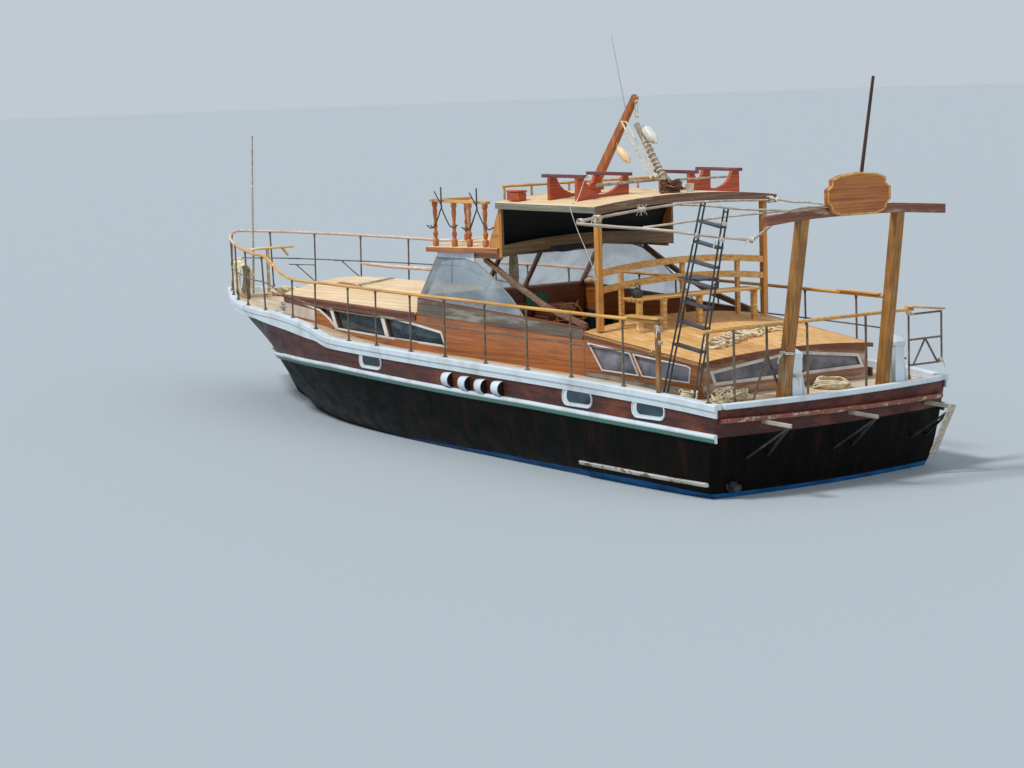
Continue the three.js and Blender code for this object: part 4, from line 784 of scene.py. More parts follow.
# Transom gear.
# Oak cap and batten across the transom, and what is left of a swimming platform: bleached
# brackets bolted under the batten, one board hanging by an end, and the exhaust outlet.
# Red brown paint worn through to pale wood; the platform's oak is silver grey and open grained.
worn_red_paint = paintwork("worn_red_brown_paint", "8d4b38", "b7aa9b", chips=0.56)
bleached_oak = timber("bleached_oak", ("8d8577", "b0a797", "cfc8bb"), run="x", rough=(0.7, 0.9))
eased_copy("transom_cap", 0.012, old_white_paint, name="transom_cap_rail")
eased_copy("transom_batten", 0.01, worn_red_paint, name="transom_batten_rail")
BRACKET_REACH = 0.55
bracket_parts, strut_parts = [], []
for y, z in ((1.29, 0.965), (-0.13, 0.94), (-1.62, 0.9)):
    root = transom_x(y, z) + 0.01
    foot_z = z - 0.47
    bracket_parts.append(plank((root, y, z), (root - BRACKET_REACH, y, z - 0.01), 0.035, 0.05))
    strut_parts += [plank((root - BRACKET_REACH + 0.03, y, z - 0.03),
                          (transom_x(y + side, foot_z) + 0.01, y + side, foot_z), 0.026, 0.026)
                    for side in (-0.16, 0.16)]
bracket_parts += [plank((-8.52, -1.6, 0.93), (-8.34, -1.4, 0.27), 0.11, 0.025, (1, 0, 0)),
                  plank((-8.5, -1.6, 0.9), (-8.05, -1.62, 0.9), 0.03, 0.05)]
brackets = piece("platform_brackets", bracket_parts, bleached_oak, ease=0.004)
# Black iron, satin where it holds and brown where rust comes through.
black_iron = uneven("rust_stained_black_iron", (11, 11, 11), (0.42, "23282b"), (0.6, "3b3a38"),
                    (0.75, "6b4630"), detail=7, rough=(0.4, 0.7, 0.45, 0.85), relief=0.001)
# The diagonal struts are dark iron, and their darkness is also painted shade under the brackets.
struts = piece("platform_struts", strut_parts, black_iron, ease=0.003)
exhaust = piece("exhaust_outlet", [swept(
    [(-7.7, 1.62, 0.16), (-7.86, 1.62, 0.155), (-7.93, 1.62, 0.13)], rounded(0.055, 16)),
    turned(((0.085, 0), (0.085, 0.018), (0.06, 0.022)), (-7.8, 1.62, 0.158), axis="x")], black_iron)

# Cabin sides and windows.
# Marine ply panels, golden under old varnish, with white window beads screwed round the panes
# and slanted white bars between them. The coaming beside the cockpit has gone grey.
# Old varnish is golden and glossy where it holds and grey brown where it is worn; bare wood is
# silver grey; the white paints are flaked and warm with dirt.
golden_ply = timber("golden_varnished_ply", ("703a16", "a55e26", "c67c38"), worn="8d6c48",
                    rough=(0.3, 0.5), worn_from=0.6, coat=0.3)
brown_varnish = timber("brown_varnished_mahogany", ("4d2714", "7a4022", "96552c"), worn="7b6248",
                       rough=(0.35, 0.6), worn_from=0.6, coat=0.2)
grey_coaming = timber("weathered_grey_coaming", ("4b4038", "6a5e52", "8a7f70"), worn="9a948a",
                      rough=(0.6, 0.9), worn_from=0.52)
pink_paint = paintwork("faded_pink_white_paint", "dccbc2", "8a6450", chips=0.66)
pale_bead = paintwork("white_window_bead", "dedad5", "93745c", chips=0.64)
HOUSE_HALF = 1.57


def house_y(x):
    return HOUSE_HALF - 0.08 * max(0, x)


LONG_WINDOWS = (((3.3, 1.822), (3.3, 1.795), (2.67, 1.715), (2.35, 1.6), (2.12, 1.475),
                 (2.33, 1.822)), ((2.27, 1.822), (2.06, 1.462), (0.39, 1.455), (0.56, 1.79)),
                ((0.49, 1.782), (0.32, 1.453), (-1.29, 1.44), (-1.18, 1.64), (-0.3, 1.73)))
COAMING_TOP = ((-0.575, 2.11), (-3.32, 1.99), (-4.7, 1.925))


def dress(node, finish):
    """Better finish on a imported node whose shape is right."""
    materials = frame["nodes"][node].data.materials
    materials.clear()
    materials.append(finish)


bead_parts = [swept([(x, house_y(x) + 0.004, z) for x, z in outline], squared(0.016, -0.008, 0.008),
                    (0, 1, 0), looped=True) for outline in LONG_WINDOWS]
bead_parts += [plank((x0, house_y(x0) + 0.008, z0), (x1, house_y(x1) + 0.008, z1), 0.055, 0.014, (0, 1, 0))
               for (x0, z0), (x1, z1) in (((2.3, 1.83), (2.09, 1.455)), ((0.525, 1.795), (0.355, 1.445)))]
coaming_face = [(-0.575, 1.88), *COAMING_TOP, (-4.7, 1.79)]
cap_route = [(x, HOUSE_HALF - 0.022, z + 0.01) for x, z in COAMING_TOP]
pink_face = [(2.86, 1.53), (3.98, 1.575), (3.98, 1.765), (2.86, 1.7)]
moulding = [(x, house_y(x) + 0.012, 1.815) for x in (-0.5, 0.5, 1.5, 2.5, 3.4, 3.98)]
trim_section = ((-0.012, -0.034), (0.012, -0.03), (0.016, 0), (0.012, 0.03), (-0.012, 0.034))
for side, place_on in SIDES:
    dress(f"house_side_{side}", golden_ply)
    dress(f"fore_glass_{side}", dark_pane)
    beads = piece(f"window_beads_{side}", place_on(bead_parts), pale_bead, ease=0.003)
    coaming = piece(f"coaming_board_{side}", place_on([slab(coaming_face, HOUSE_HALF + 0.001,
                                                           HOUSE_HALF + 0.012)]), grey_coaming, ease=0.003)
    caps = piece(f"coaming_cap_{side}", place_on([swept(cap_route, squared(0.036, -0.009, 0.009))]),
                 brown_varnish, ease=0.004)
    band = piece(f"trunk_moulding_{side}", place_on([swept(moulding, trim_section)]), brown_varnish)
    panel = piece(f"fore_side_paint_{side}", place_on([(
        [(x, house_y(x) + off, z) for off in (0.001, 0.006) for x, z in pink_face],
        rings_to_faces(2, 4))]), pink_paint)
eased_copy("fore_cabin_front", 0.006, golden_ply)

# Cabin tops.
# Cambered tops of narrow pine boards laid fore and aft, scrubbed almost white by the sun on the
# fore cabin and yellower aft, with a brown half-round moulding fastened round the edge.
sunbleached_top = timber("sunbleached_pine_top", ("c9a97e", "e0c59c", "f0dcb8"), worn="cbb7a0",
                         boards=("y", 0.14), rough=(0.6, 0.85), joint="8a6a4a", worn_from=0.6)
honey_top = timber("honey_pine_top", ("b98649", "dba967", "ecc48a"), worn="d8c29a", boards=("y", 0.14),
                   rough=(0.55, 0.8), joint="7a5228", worn_from=0.56)
eased_copy("fore_cabin_top", 0.01, sunbleached_top, name="fore_cabin_boards")
eased_copy("aft_cabin_top", 0.01, honey_top, name="aft_cabin_boards")


def cambered(x, half, edge, crown, steps=16):
    """Points across a cambered top at x, from port to starboard."""
    return [(x, half * s, edge + crown * (1 - s * s)) for s in np.linspace(1, -1, steps + 1)]


AFT_TOP_FORE, AFT_TOP_AFT = (-4.72, 1.6, 1.899, 0.13), (-7.11, 1.506, 1.649, 0.075)
edge_section = ((0, -0.028), (0.018, -0.02), (0.024, 0), (0.018, 0.02), (0, 0.028))
fore_route = [(-0.5, 1.6, 1.875), (0, 1.6, 1.875), (4, 1.28, 1.875)]
aft_route = [(x, half, edge - 0.025) for x, half, edge, _ in (AFT_TOP_FORE, AFT_TOP_AFT)]
aft_lip = [(x - 0.012, y, z - 0.025) for x, y, z in cambered(*AFT_TOP_AFT)]
strips = [swept(route, [(-a, b) for a, b in edge_section]) for route in (fore_route, aft_route)]
lip_strip = swept(aft_lip, squared(0.012, -0.028, 0.028))
edges = piece("cabin_top_mouldings", [*strips, *mirror(strips), lip_strip], brown_varnish)

# Aft cabin.
# Low trunk of golden ply with two raked windows a side and two across the back, their panes
# grey with salt, set in white beads.
# Old glass that dried salt has turned a cloudy lilac grey.
salted_pane = uneven("salted_window_glass", (2, 2, 3), (0.4, "4d5058"), (0.7, "8d8a92"), rough=0.18,
                     IOR=1.52)
AFT_WINDOWS = (((-4.8, 1.745), (-5.08, 1.4), (-5.83, 1.385), (-5.66, 1.668)),
               ((-5.74, 1.66), (-5.91, 1.383), (-6.18, 1.38), (-6.8, 1.56)))
BACK_WINDOWS = (((1.23, 1.345), (1.29, 1.5), (0.06, 1.625), (0.06, 1.345)),
                ((-0.26, 1.345), (-0.26, 1.625), (-1.29, 1.5), (-1.37, 1.345)))
AFT_BACK_X = -7.05
# The back panel has lost its varnish and gone a pale pinkish brown.
bleached_ply = timber("bleached_back_panel", ("774c34", "9d7256", "bf9a80"), run="y", worn="cdb5a4",
                      rough=(0.5, 0.8), worn_from=0.5)
for node in ("aft_cabin_side_port", "aft_cabin_side_starboard", "aft_cabin_front"):
    dress(node, golden_ply)
dress("aft_cabin_back", bleached_ply)


def aft_y(x):
    return HOUSE_HALF + 0.04 * (x + 4.7)


BEAD = squared(0.01, -0.006, 0.01)
END_PANE = ((-6.18, 1.384), (-6.84, 1.372), (-6.87, 1.56), (-6.8, 1.585), (-6.3, 1.62))
FOOT_BOARD = ((-4.72, 1.3), (-4.72, 1.352), (-7.04, 1.3), (-7.04, 1.18), (-6, 1.256))
pane_parts = [([(x, aft_y(x) + off, z) for off in offs for x, z in outline], rings_to_faces(2, len(outline)))
              for outline, offs in ((END_PANE, (0.0005, 0.003)), (AFT_WINDOWS[0], (-0.03, -0.024)),
                                    (AFT_WINDOWS[1], (-0.03, -0.024)))]
bead_parts = [swept([(x, aft_y(x) + 0.004, z) for x, z in outline], BEAD, (0, 1, 0), looped=True)
              for outline in (AFT_WINDOWS[0], (*AFT_WINDOWS[1][:2], *END_PANE[1:4]))]
foot_parts = [slab(FOOT_BOARD, HOUSE_HALF - 0.01, HOUSE_HALF + 0.012)]
back_panes = [slab(outline, AFT_BACK_X + 0.022, AFT_BACK_X + 0.028, "yz") for outline in BACK_WINDOWS]
back_beads = [swept([(AFT_BACK_X - 0.004, y, z) for y, z in outline], squared(0.022, -0.008, 0.008),
                    (1, 0, 0), looped=True) for outline in BACK_WINDOWS]
foot_boards = piece("aft_cabin_foot_boards", foot_parts + mirror(foot_parts), grey_coaming, ease=0.003)
panes = piece("aft_cabin_panes", pane_parts + mirror(pane_parts) + back_panes, salted_pane)
beads = piece("aft_window_beads", bead_parts + mirror(bead_parts) + back_beads, pale_bead, ease=0.003)

# Wheelhouse glass and frames.
# Varnished frame round three raked panes, with big curved side lights of clear acrylic that the
# salt has made milky, held in thin bright strips. A white strip under the roof bears no words.
# Crazed acrylic, half milky; dull aluminium with a soft shine; clear glass flecked with salt.
milky_pane = uneven("milky_side_glass", (0.9, 0.9, 1.6), (0.4, "7f95a4"), (0.7, "b4bdc2"), rough=0.12,
                    alpha=(0.35, 0.7, 0.26, 0.62), IOR=1.49)
dull_strip = uneven("dull_aluminium_strip", (18, 18, 18), (0, "9a9d9f"), (1, "c7c6c0"), rough=0.5,
                    Metallic=0.7)
clear_pane = uneven("salt_flecked_clear_glass", (1.4, 1.4, 2), (0.4, "a3aeb2"), (0.7, "c9c4c2"),
                    detail=6, rough=0.08, alpha=(0.4, 0.75, 0.14, 0.42), IOR=1.49)
for node, glass in (("windshield_glass", clear_pane), ("side_glass_port", milky_pane),
                    ("side_glass_starboard", clear_pane)):
    dress(node, glass)
eased_copy("windshield_frame", 0.008, brown_varnish, name="windshield_joinery")
SIDE_LIGHT = ((-0.6, 2.125), (-1.11, 2.77), (-1.84, 2.785), (-2.1, 2.74), (-2.56, 2.52),
              (-3, 2.25), (-3.27, 2.01))
BLANK_STRIP = ((-1.16, 2.765), (-1.16, 2.885), (-2.09, 2.878), (-2.09, 2.735), (-1.85, 2.772))
STRIP_Y = 1.553
strip_parts = [swept([(x, STRIP_Y, z) for x, z in SIDE_LIGHT], squared(0.011, -0.004, 0.005), (0, 1, 0)),
               swept([(x, STRIP_Y, 2.135 - 0.042 * (-0.62 - x)) for x in (-0.62, -1.5, -2.4, -3.2)],
                     squared(0.009, -0.004, 0.005), (0, 1, 0))]
for side, place_on in SIDES:
    strips = piece(f"side_light_strips_{side}", place_on(strip_parts), dull_strip)
    board = piece(f"blank_strip_{side}", place_on([slab(BLANK_STRIP, 1.552, 1.56)]), old_white_paint)

# Roofs and their carriers.
# Two planked roofs on a step: pale boards above, brown beams and a raked panel between them,
# its back near black as painted shade. Braces, posts and the rail are golden varnish gone grey on the
# weather side.
# Thick golden varnish shines; the weathered beams are matt grey green and brown; the stains are
# orange red and purple brown, with bare wood at the worn places; the panel's flat black is painted shade.
golden_timber = timber("golden_varnished_timber", ("965a1c", "c98632", "e6ae5a"), run="z", worn="8f8877",
                       rough=(0.3, 0.6), worn_from=0.6, coat=0.3)
golden_rail_wood = timber("golden_varnished_rail", ("a26a2a", "d39a48", "ecc078"), worn="cdb48c",
                          rough=(0.35, 0.6), worn_from=0.58, coat=0.2)
grey_fascia = timber("grey_green_weathered_beam", ("5b5a4b", "7d7b69", "a39f8b"), worn="b7b09c",
                     rough=(0.65, 0.9), worn_from=0.6)
brown_fascia = timber("brown_weathered_beam", ("54392a", "7a5a45", "9b7a63"), run="y", worn="a79483",
                      rough=(0.55, 0.85), worn_from=0.56)
# The raked panel's back under the upper roof is drawn near black: painted shade.
shade_painted_panel = timber("raked_panel_in_painted_shade", ("0a0f12", "12191c", "1d2426"), run="y", rough=(0.55, 0.8))
red_stain = timber("orange_red_stained_board", ("802c11", "ae451b", "c8642f"), run="y", worn="cf8a5c",
                   rough=(0.4, 0.65), worn_from=0.66, coat=0.15)
purple_bar = timber("purple_brown_bar", ("47262a", "6b3a3c", "8c5a56"), worn="a9837a",
                    rough=(0.45, 0.7), worn_from=0.6, coat=0.1)
LOWER_AFT_EDGE, LOWER_SLOPE = 2.955, 0.05


def slab_top(x, y):
    """Height of the lower roof at x and y."""
    edge = LOWER_AFT_EDGE - LOWER_SLOPE * (x + 2.75) / 1.85
    return edge + 0.003 + 0.1 * (1 - (y / 1.61) ** 2)


lower_copy = eased_copy("lower_roof", 0.012, sunbleached_top, golden_ply, name="lower_roof_boards")
choose(lower_copy, lambda face: face.normal.z <= 0.5)
eased_copy("upper_roof", 0.014, sunbleached_top, name="upper_roof_boards")
for side in ("port", "starboard"):
    eased_copy(f"brace_{side}", 0.006, brown_fascia, name=f"roof_brace_{side}")
    eased_copy(f"roof_post_{side}", 0.008, golden_timber, name=f"roof_post_of_{side}_side")
eased_copy("roof_rail", 0.006, golden_rail_wood, name="roof_rail_of_upper_roof")
header_beam = timber("faded_header_beam", ("5a452e", "7d6243", "9c8260"), run="y", worn="b3a07f",
                     rough=(0.5, 0.8), worn_from=0.6)
panel_copy = eased_copy("roof_front_panel", 0.006, header_beam, shade_painted_panel, golden_timber,
                        name="raked_roof_panel")


def panel_finish(face):
    """Header beam below, painted shade (near black) inside the frame, golden edges."""
    if face.center.z < slab_top(-2.75, face.center.y) + 0.02:
        return 0
    return 1 if abs(face.center.y) < 1.528 and face.normal.x < 0.3 else 2


choose(panel_copy, panel_finish)
UPPER_EDGE, UPPER_CROWN, UPPER_HALF = 3.615, 0.1, 1.6


def roof_top(y):
    return UPPER_EDGE + UPPER_CROWN * (1 - (y / UPPER_HALF) ** 2)


side_board = [plank((-2.735, 1.606, 3.563), (-5.07, 1.606, 3.563), 0.085, 0.012, (0, 1, 0))]
side_fascia = piece("roof_side_fascia", side_board + mirror(side_board), grey_fascia, ease=0.003)
aft_fascia = piece("roof_aft_fascia", [swept(
    [(-5.088, y, roof_top(y) - 0.06) for y in np.linspace(1.61, -1.61, 17)],
    squared(0.058, -0.008, 0.008), (1, 0, 0))], brown_fascia, ease=0.003)

# Balustrade.
# Shop-turned staircase spindles, reused as a rail on the lower roof, stained brown and gone
# orange in the sun. The top rail is a squared batten.
spindle_varnish = timber("orange_spindle_varnish", ("8a4a20", "b9682f", "d58a48"), run="z", worn="d9b487",
                         rough=(0.4, 0.65), worn_from=0.62, coat=0.2)
SPINDLE_PROFILE = ((0, 0), (0.046, 0), (0.046, 0.085), (0.038, 0.095), (0.024, 0.11), (0.04, 0.165),
                   (0.034, 0.195), (0.022, 0.218), (0.034, 0.268), (0.03, 0.3), (0.021, 0.33),
                   (0.026, 0.385), (0.035, 0.455), (0.036, 0.48), (0.03, 0.535), (0.044, 0.555),
                   (0.044, 0.612), (0, 0.612))
BALUSTRADE_FOOT, SPINDLE_HIGH = slab_top(-2.64, 1.48), 0.602
rail_z = BALUSTRADE_FOOT + SPINDLE_HIGH + 0.0205
spindle_parts = []
for x, y in ((-2.36, 1.53), (-1.95, 1.53), (-1.56, 1.53), (-1.06, 1.53), (-1.06, 0.97)):
    foot = slab_top(x, y) + 0.001
    stretch = (BALUSTRADE_FOOT + SPINDLE_HIGH - foot) / SPINDLE_PROFILE[-1][1]
    spindle_parts.append(turned([(r, h * stretch) for r, h in SPINDLE_PROFILE], (x, y, foot), 20))
rail_boards = [plank((-2.44, 1.53, rail_z), (-1, 1.53, rail_z), 0.09, 0.042),
               plank((-1.06, 1.6, rail_z + 0.001), (-1.06, 0.89, rail_z + 0.001), 0.09, 0.04)]
for side, place_on in SIDES:
    spindles = piece(f"turned_spindles_{side}", place_on(spindle_parts), spindle_varnish, crease=40)
    rails = piece(f"balustrade_rail_{side}", place_on(rail_boards), golden_rail_wood, ease=0.006)
    for made in (spindles, rails):
        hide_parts(f"balustrade_{side}")
GRAPNEL_Y, GRAPNEL_HEAD, GRAPNEL_HEEL = 1.6, 3.8, 3.5
CURL = ((0, 0, 0), (0.35, 0.4, 0.42), (0.82, 0.85, 0.9), (1, 1, 1), (1.35, 1.2, 1.04),
        (1.75, 1.5, 0.9))
grapnel_parts = []
for x in (-1.34, -2.26):
    grapnel_parts += [rod((x, GRAPNEL_Y, GRAPNEL_HEAD), (x, GRAPNEL_Y, GRAPNEL_HEEL), 0.011, 8),
                      rod((x + 0.2, 1.585, 3.73), (x - 0.02, 1.6, 3.51), 0.009, 8)]
    grapnel_parts += [swept([(x + reach * a, GRAPNEL_Y + out * b, GRAPNEL_HEEL - fall * c)
                             for a, b, c in CURL], rounded(0.01, 8))
                      for reach, out, fall in ((0.2, 0.02, 0.3), (-0.27, 0.03, 0.27), (0.03, 0.11, 0.28))]
grapnels = piece("hanging_grapnels", grapnel_parts, black_iron)

# Mast and derrick.
# Raked mast of red-stained fir with a sheave slot at its head and a whip aerial; the bleached
# derrick boom is folded up against it. Two old fishing floats hang by short lines.
# Thin red stain lets the fir's grain show; the boom is bare and silvery; old float plastic is
# chalky and blotched.
mast_stain = timber("red_stained_fir", ("7c401c", "a5602c", "c48650"), run="z", worn="c9986a",
                    rough=(0.45, 0.7), worn_from=0.62, coat=0.1)
grey_spar = timber("bleached_grey_spar", ("6e6255", "998c7c", "c2b6a4"), run="z", worn="d6cdbd",
                   rough=(0.65, 0.9), worn_from=0.55)
cream_plastic = paintwork("sun_faded_cream_float", "e9c99b", "b98a4e", chips=0.6)
white_plastic = paintwork("chalky_white_float", "d9d4cc", "9b7a6c", chips=0.6)
red_plastic = paintwork("faded_red_float_end", "8c4a41", "b98f86", chips=0.6)
mast_copy = eased_copy("mast", 0.006, mast_stain, dull_strip, name="raked_mast")
choose(mast_copy, lambda face: face.center.z > 4.8 and face.area < 0.05
       and abs(face.center.y - 0.042) < 0.012)
eased_copy("boom_step", 0.003, black_iron, name="boom_heel_fitting")
eased_copy("boom", 0.004, grey_spar, name="derrick_boom")


def square_to(run, lean):
    """Unit vector along a run, and two more square to it and to each other."""
    run = unit(run)
    side = unit(np.cross(run, lean))
    return run, side, np.cross(run, side)


FLOAT_SHAPE = ((0, 0.28), (0.04, 0.32), (0.1, 0.62), (0.22, 0.92), (0.4, 1), (0.6, 1),
               (0.78, 0.92), (0.9, 0.62), (0.96, 0.32), (1, 0.28))
FLOAT_SIDES = 14


def float_body(start, end, radius):
    """Lozenge-shaped hollow float with a neck at each end, between two points."""
    start, end = np.array(start), np.array(end)
    _, side, other = square_to(end - start, (0, 1, 0.2))
    rings = [start + (end - start) * s + (side * math.cos(t) + other * math.sin(t)) * radius * w
             for s, w in FLOAT_SHAPE for t in around(FLOAT_SIDES)]
    return np.array(rings), rings_to_faces(len(FLOAT_SHAPE), FLOAT_SIDES)


cream_float = piece("cream_float", [float_body((-3.53, 0, 4.335), (-3.8, 0, 4.115), 0.062)],
                    cream_plastic, crease=50)
white_parts = float_body((-4.16, 0.02, 4.62), (-4.45, 0.02, 4.4), 0.075)
first_end = len(white_parts[1]) - 2
red_ends = [int(i < 2 * FLOAT_SIDES or i == first_end) for i in range(len(white_parts[1]))]
white_float = piece("white_float", [(*white_parts, red_ends)], white_plastic, red_plastic, body="boom",
                    crease=50)
line_parts, boom_lines = ([swept(route, rounded(0.006, 6)) for route in routes] for routes in (
    (((-3.5, 0, 4.42), (-3.52, 0.005, 4.37), (-3.53, 0, 4.335)),
     ((-3.42, 0, 4.4), (-3.5, 0, 4.44), (-3.53, 0, 4.4))),
    (((-4.1, 0.03, 4.5), (-4.12, 0.03, 4.58), (-4.16, 0.02, 4.62)),)))
# Laid rope bleached by the sun; its strands are drawn about 12 mm apart, so that they show.
natural_rope = uneven("sun_bleached_laid_rope", (9, 9, 9), (0.3, "a5906a"), (0.48, "d8c8a4"),
                      (0.66, "f4ecd8"), detail=5, rough=0.9, relief=0.003, lay=(26, 3, "DIAGONAL"))
stay = piece("boom_stay", [rod((-3.76, 0.1, 4.7), (-4.43, 0.12, 3.9), 0.012, 8),
                           rod((-3.76, 0.02, 4.7), (-4.47, 0.06, 3.92), 0.01, 8),
                           rod((-3.76, 0.03, 4.69), (-3.76, 0.12, 4.7), 0.01, 8)] + line_parts, natural_rope)
halyard = piece("mast_head_tackle", [
    rod((-3.985, 0.02, 5), (-3.985, 0.024, 4.78), 0.007, 6),
    rod((-3.985, -0.02, 5), (-3.985, -0.016, 4.78), 0.007, 6),
    rod((-3.985, -0.03, 4.985), (-3.985, 0.03, 4.985), 0.022, 12),
    rod((-3.985, -0.028, 4.77), (-3.985, 0.028, 4.77), 0.026, 12)], natural_rope)
BOOM_HEEL, BOOM_HEAD = np.array((-4.61, 0, 3.85)), np.array((-3.97, 0, 4.66))
TURN_REACH = (0.038622, 0.052, 0.030504)
turns = []
for k in range(9):
    spot = BOOM_HEEL + (BOOM_HEAD - BOOM_HEEL) * (0.12 + 0.07 * k)
    turns.append(swept([spot + (TURN_REACH[0] * math.cos(t), TURN_REACH[1] * math.sin(t),
                                0.012 * math.sin(t / 2 + k) - TURN_REACH[2] * math.cos(t))
                        for t in np.linspace(0, 2 * math.pi, 17)], rounded(0.008, 6)))
lashing = piece("boom_rope_turns", turns + boom_lines, natural_rope, body="boom")

# Cradles and roof gear.
# Two scooped chocks of stained board for a boat or fish boxes, with poles laid across them, a
# toolbox at the front corner and a small white pot.
for side in ("port", "starboard"):
    cradle = eased_copy(f"cradle_{side}", 0.006, red_stain, purple_bar, name=f"boat_chocks_{side}")
    bar_foot = roof_top(1.33 if side == "port" else 1.59) + 0.315
    choose(cradle, lambda face: face.center.z > bar_foot)
gear = piece("roof_spars", [rod((-4.36, 1.02, 3.855), (-4.3, -0.3, 3.885), 0.024, 10),
                            rod((-4.46, -0.3, 3.868), (-4.4, -1.3, 3.862), 0.016, 8)], grey_spar)
BOX_X, BOX_Y, BOX_HIGH, LID_FROM = -3.06, 1.46, 0.145, 0.119


def box_outline(half_long, half_wide):
    return [(BOX_X + i * half_long, BOX_Y + j * half_wide) for i, j in ((-1, -1), (1, -1), (1, 1), (-1, 1))]


box_foot = roof_top(BOX_Y - 0.07) - 0.002
toolbox = piece("roof_toolbox", [
    slab(box_outline(0.14, 0.07), box_foot, box_foot + LID_FROM - 0.004, "xy"),
    slab(box_outline(0.15, 0.078), box_foot + LID_FROM, box_foot + BOX_HIGH, "xy")], red_stain, ease=0.005)
pot_z = roof_top(-0.2)
pot = piece("white_pot", [turned(((0, 0), (0.05, 0), (0.062, 0.105), (0.066, 0.11), (0.058, 0.112),
                                  (0.048, 0.012), (0, 0.012)), (-4.86, -0.22, pot_z), 20)], white_plastic)

# Cockpit.
# Boarded sole, helm console with a sloping dash of round gauges, a spoked wheel, and the
# cabin door of varnished ply. The engine under the sole stands as one painted block.
# Trodden boards are matt and grey brown; the engine's enamel is chipped to dark iron.
sole_boards = timber("worn_sole_boards", ("5b4a37", "7d684d", "9c8664"), worn="a8977b", boards=("y", 0.12),
                     rough=(0.6, 0.85), joint="2b2117", worn_from=0.58)
engine_paint = paintwork("grey_green_engine_enamel", "5e6a68", "4a2f20", chips=0.66)
# Brass gone brown and yellow, with a soft shine.
brass_trim = uneven("tarnished_brass", (24, 24, 24), (0, "7d6233"), (1, "b8955a"), rough=0.42,
                    Metallic=1)
eased_copy("cockpit_sole", 0.004, sole_boards, name="cockpit_boards")
eased_copy("helm_console", 0.01, brown_varnish, name="helm_pedestal")
eased_copy("engine_block", 0.03, engine_paint, name="engine_mass_block")
eased_copy("aft_cabin_front", 0.004, brown_varnish, name="aft_cabin_bulkhead")
HELM_Y, HELM_Z, WHEEL_X, RIM_RADIUS = -0.78, 1.64, -1.23, 0.25
dash = piece("helm_dash", [slab([(-1.055, 1.701), (-0.665, 1.701), (-0.665, 1.86), (-0.93, 1.845)],
                                HELM_Y - 0.27, HELM_Y + 0.27)], brown_varnish, ease=0.006)
gauge_parts = []
lean = Vector((-0.144, 0, 0.125)).normalized()
for y, radius in ((-0.18, 0.04), (-0.06, 0.03), (0.05, 0.03), (0.17, 0.048)):
    middle = Vector((-0.9925, HELM_Y + y, 1.773)) + lean * 0.001
    gauge_parts.append(rod(middle, middle + lean * 0.012, radius, 20))
    gauge_parts.append((*rod(middle + lean * 0.012, middle + lean * 0.0125, radius * 0.82, 20), 1))
gauges = piece("helm_gauges", gauge_parts, brass_trim, dark_pane)
hub = np.array((WHEEL_X, HELM_Y, HELM_Z))
rim_path = [hub + (0, RIM_RADIUS * math.cos(t), RIM_RADIUS * math.sin(t)) for t in around(48)]
wheel_parts = [swept(rim_path, rounded(0.017, 10, 0.8), (1, 0, 0), looped=True),
               turned(((0, -0.05), (0.03, -0.05), (0.038, -0.03), (0.038, 0.035), (0.026, 0.058),
                       (0, 0.058)), hub, 20, "x")]
HANDLE = ((0.011, 0), (0.011, 0.22), (0.014, 0.262), (0.01, 0.27), (0.015, 0.292), (0.013, 0.318),
          (0.006, 0.328))
for t in around(6):
    out, flat = np.array((0, math.cos(t), math.sin(t))), np.array((0, -math.sin(t), math.cos(t)))
    corners = [hub + out * h + (np.array((1, 0, 0)) * math.cos(a) + flat * math.sin(a)) * r
               for r, h in HANDLE for a in around(10)]
    wheel_parts.append((corners, rings_to_faces(len(HANDLE), 10)))
wheel = piece("spoked_wheel", wheel_parts, golden_rail_wood, body="helm_wheel", crease=45)
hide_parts("steering_wheel")
eased_copy("companion_door", 0.004, brown_varnish, name="cabin_door")
trim_parts = [swept([(-0.7, y, z) for y, z in ((-0.26, low), (0.26, low), (0.26, high), (-0.26, high))],
                    squared(0.01, -0.003, 0.005, 0.006), (-1, 0, 0), looped=True)
              for low, high in ((0.94, 1.32), (1.42, 1.8))]
door_trim = piece("cabin_door_mouldings", trim_parts, golden_rail_wood, body="door")
knob = piece("cabin_door_knob", [turned(((0.006, 0), (0.006, -0.02), (0.018, -0.028), (0.021, -0.04),
                                         (0.014, -0.05), (0, -0.052)), (-0.698, -0.285, 1.36), 14, "x")],
             brass_trim, body="door")
# Faded canvas; its weave is drawn at 6 mm, so that it shows.
green_cloth = uneven("faded_green_canvas", (7, 7, 7), (0, "1d6b57"), (1, "3e8f74"), rough=0.85,
                     relief=0.0008, lay=(52, 1.5, "X"))


def hung_cloth(name, columns, rows, spot_at, finish):
    """Sheet of cloth through the points of a rule, from the shares across it and down it."""
    corners = [spot_at(i / columns, j / rows) for j in range(rows + 1) for i in range(columns + 1)]
    starts = [j * (columns + 1) + i for j in range(rows) for i in range(columns)]
    return piece(name, [(corners, [(a, a + 1, a + columns + 2, a + columns + 1) for a in starts])],
                 finish, crease=180)


def rag_spot(across, fall):
    """Folds that deepen downwards, and an upper edge that droops between its nails."""
    fold = 0.004 + 0.02 * fall ** 0.7 * (0.5 + 0.5 * math.sin(across * 19 + 1.2 * fall))
    droop = 0.018 * math.sin(math.pi * across) * (1 - 0.4 * fall)
    return (-0.655 - fold, -0.36 - 0.4 * across, 2.035 - droop - 0.2 * fall)


cloth = hung_cloth("green_canvas_rag", 40, 16, rag_spot, green_cloth)
nails = piece("rag_nails", [rod((-0.64, y, 2.034), (-0.668, y, 2.038), 0.005, 8) for y in (-0.365, -0.755)],
              brass_trim)

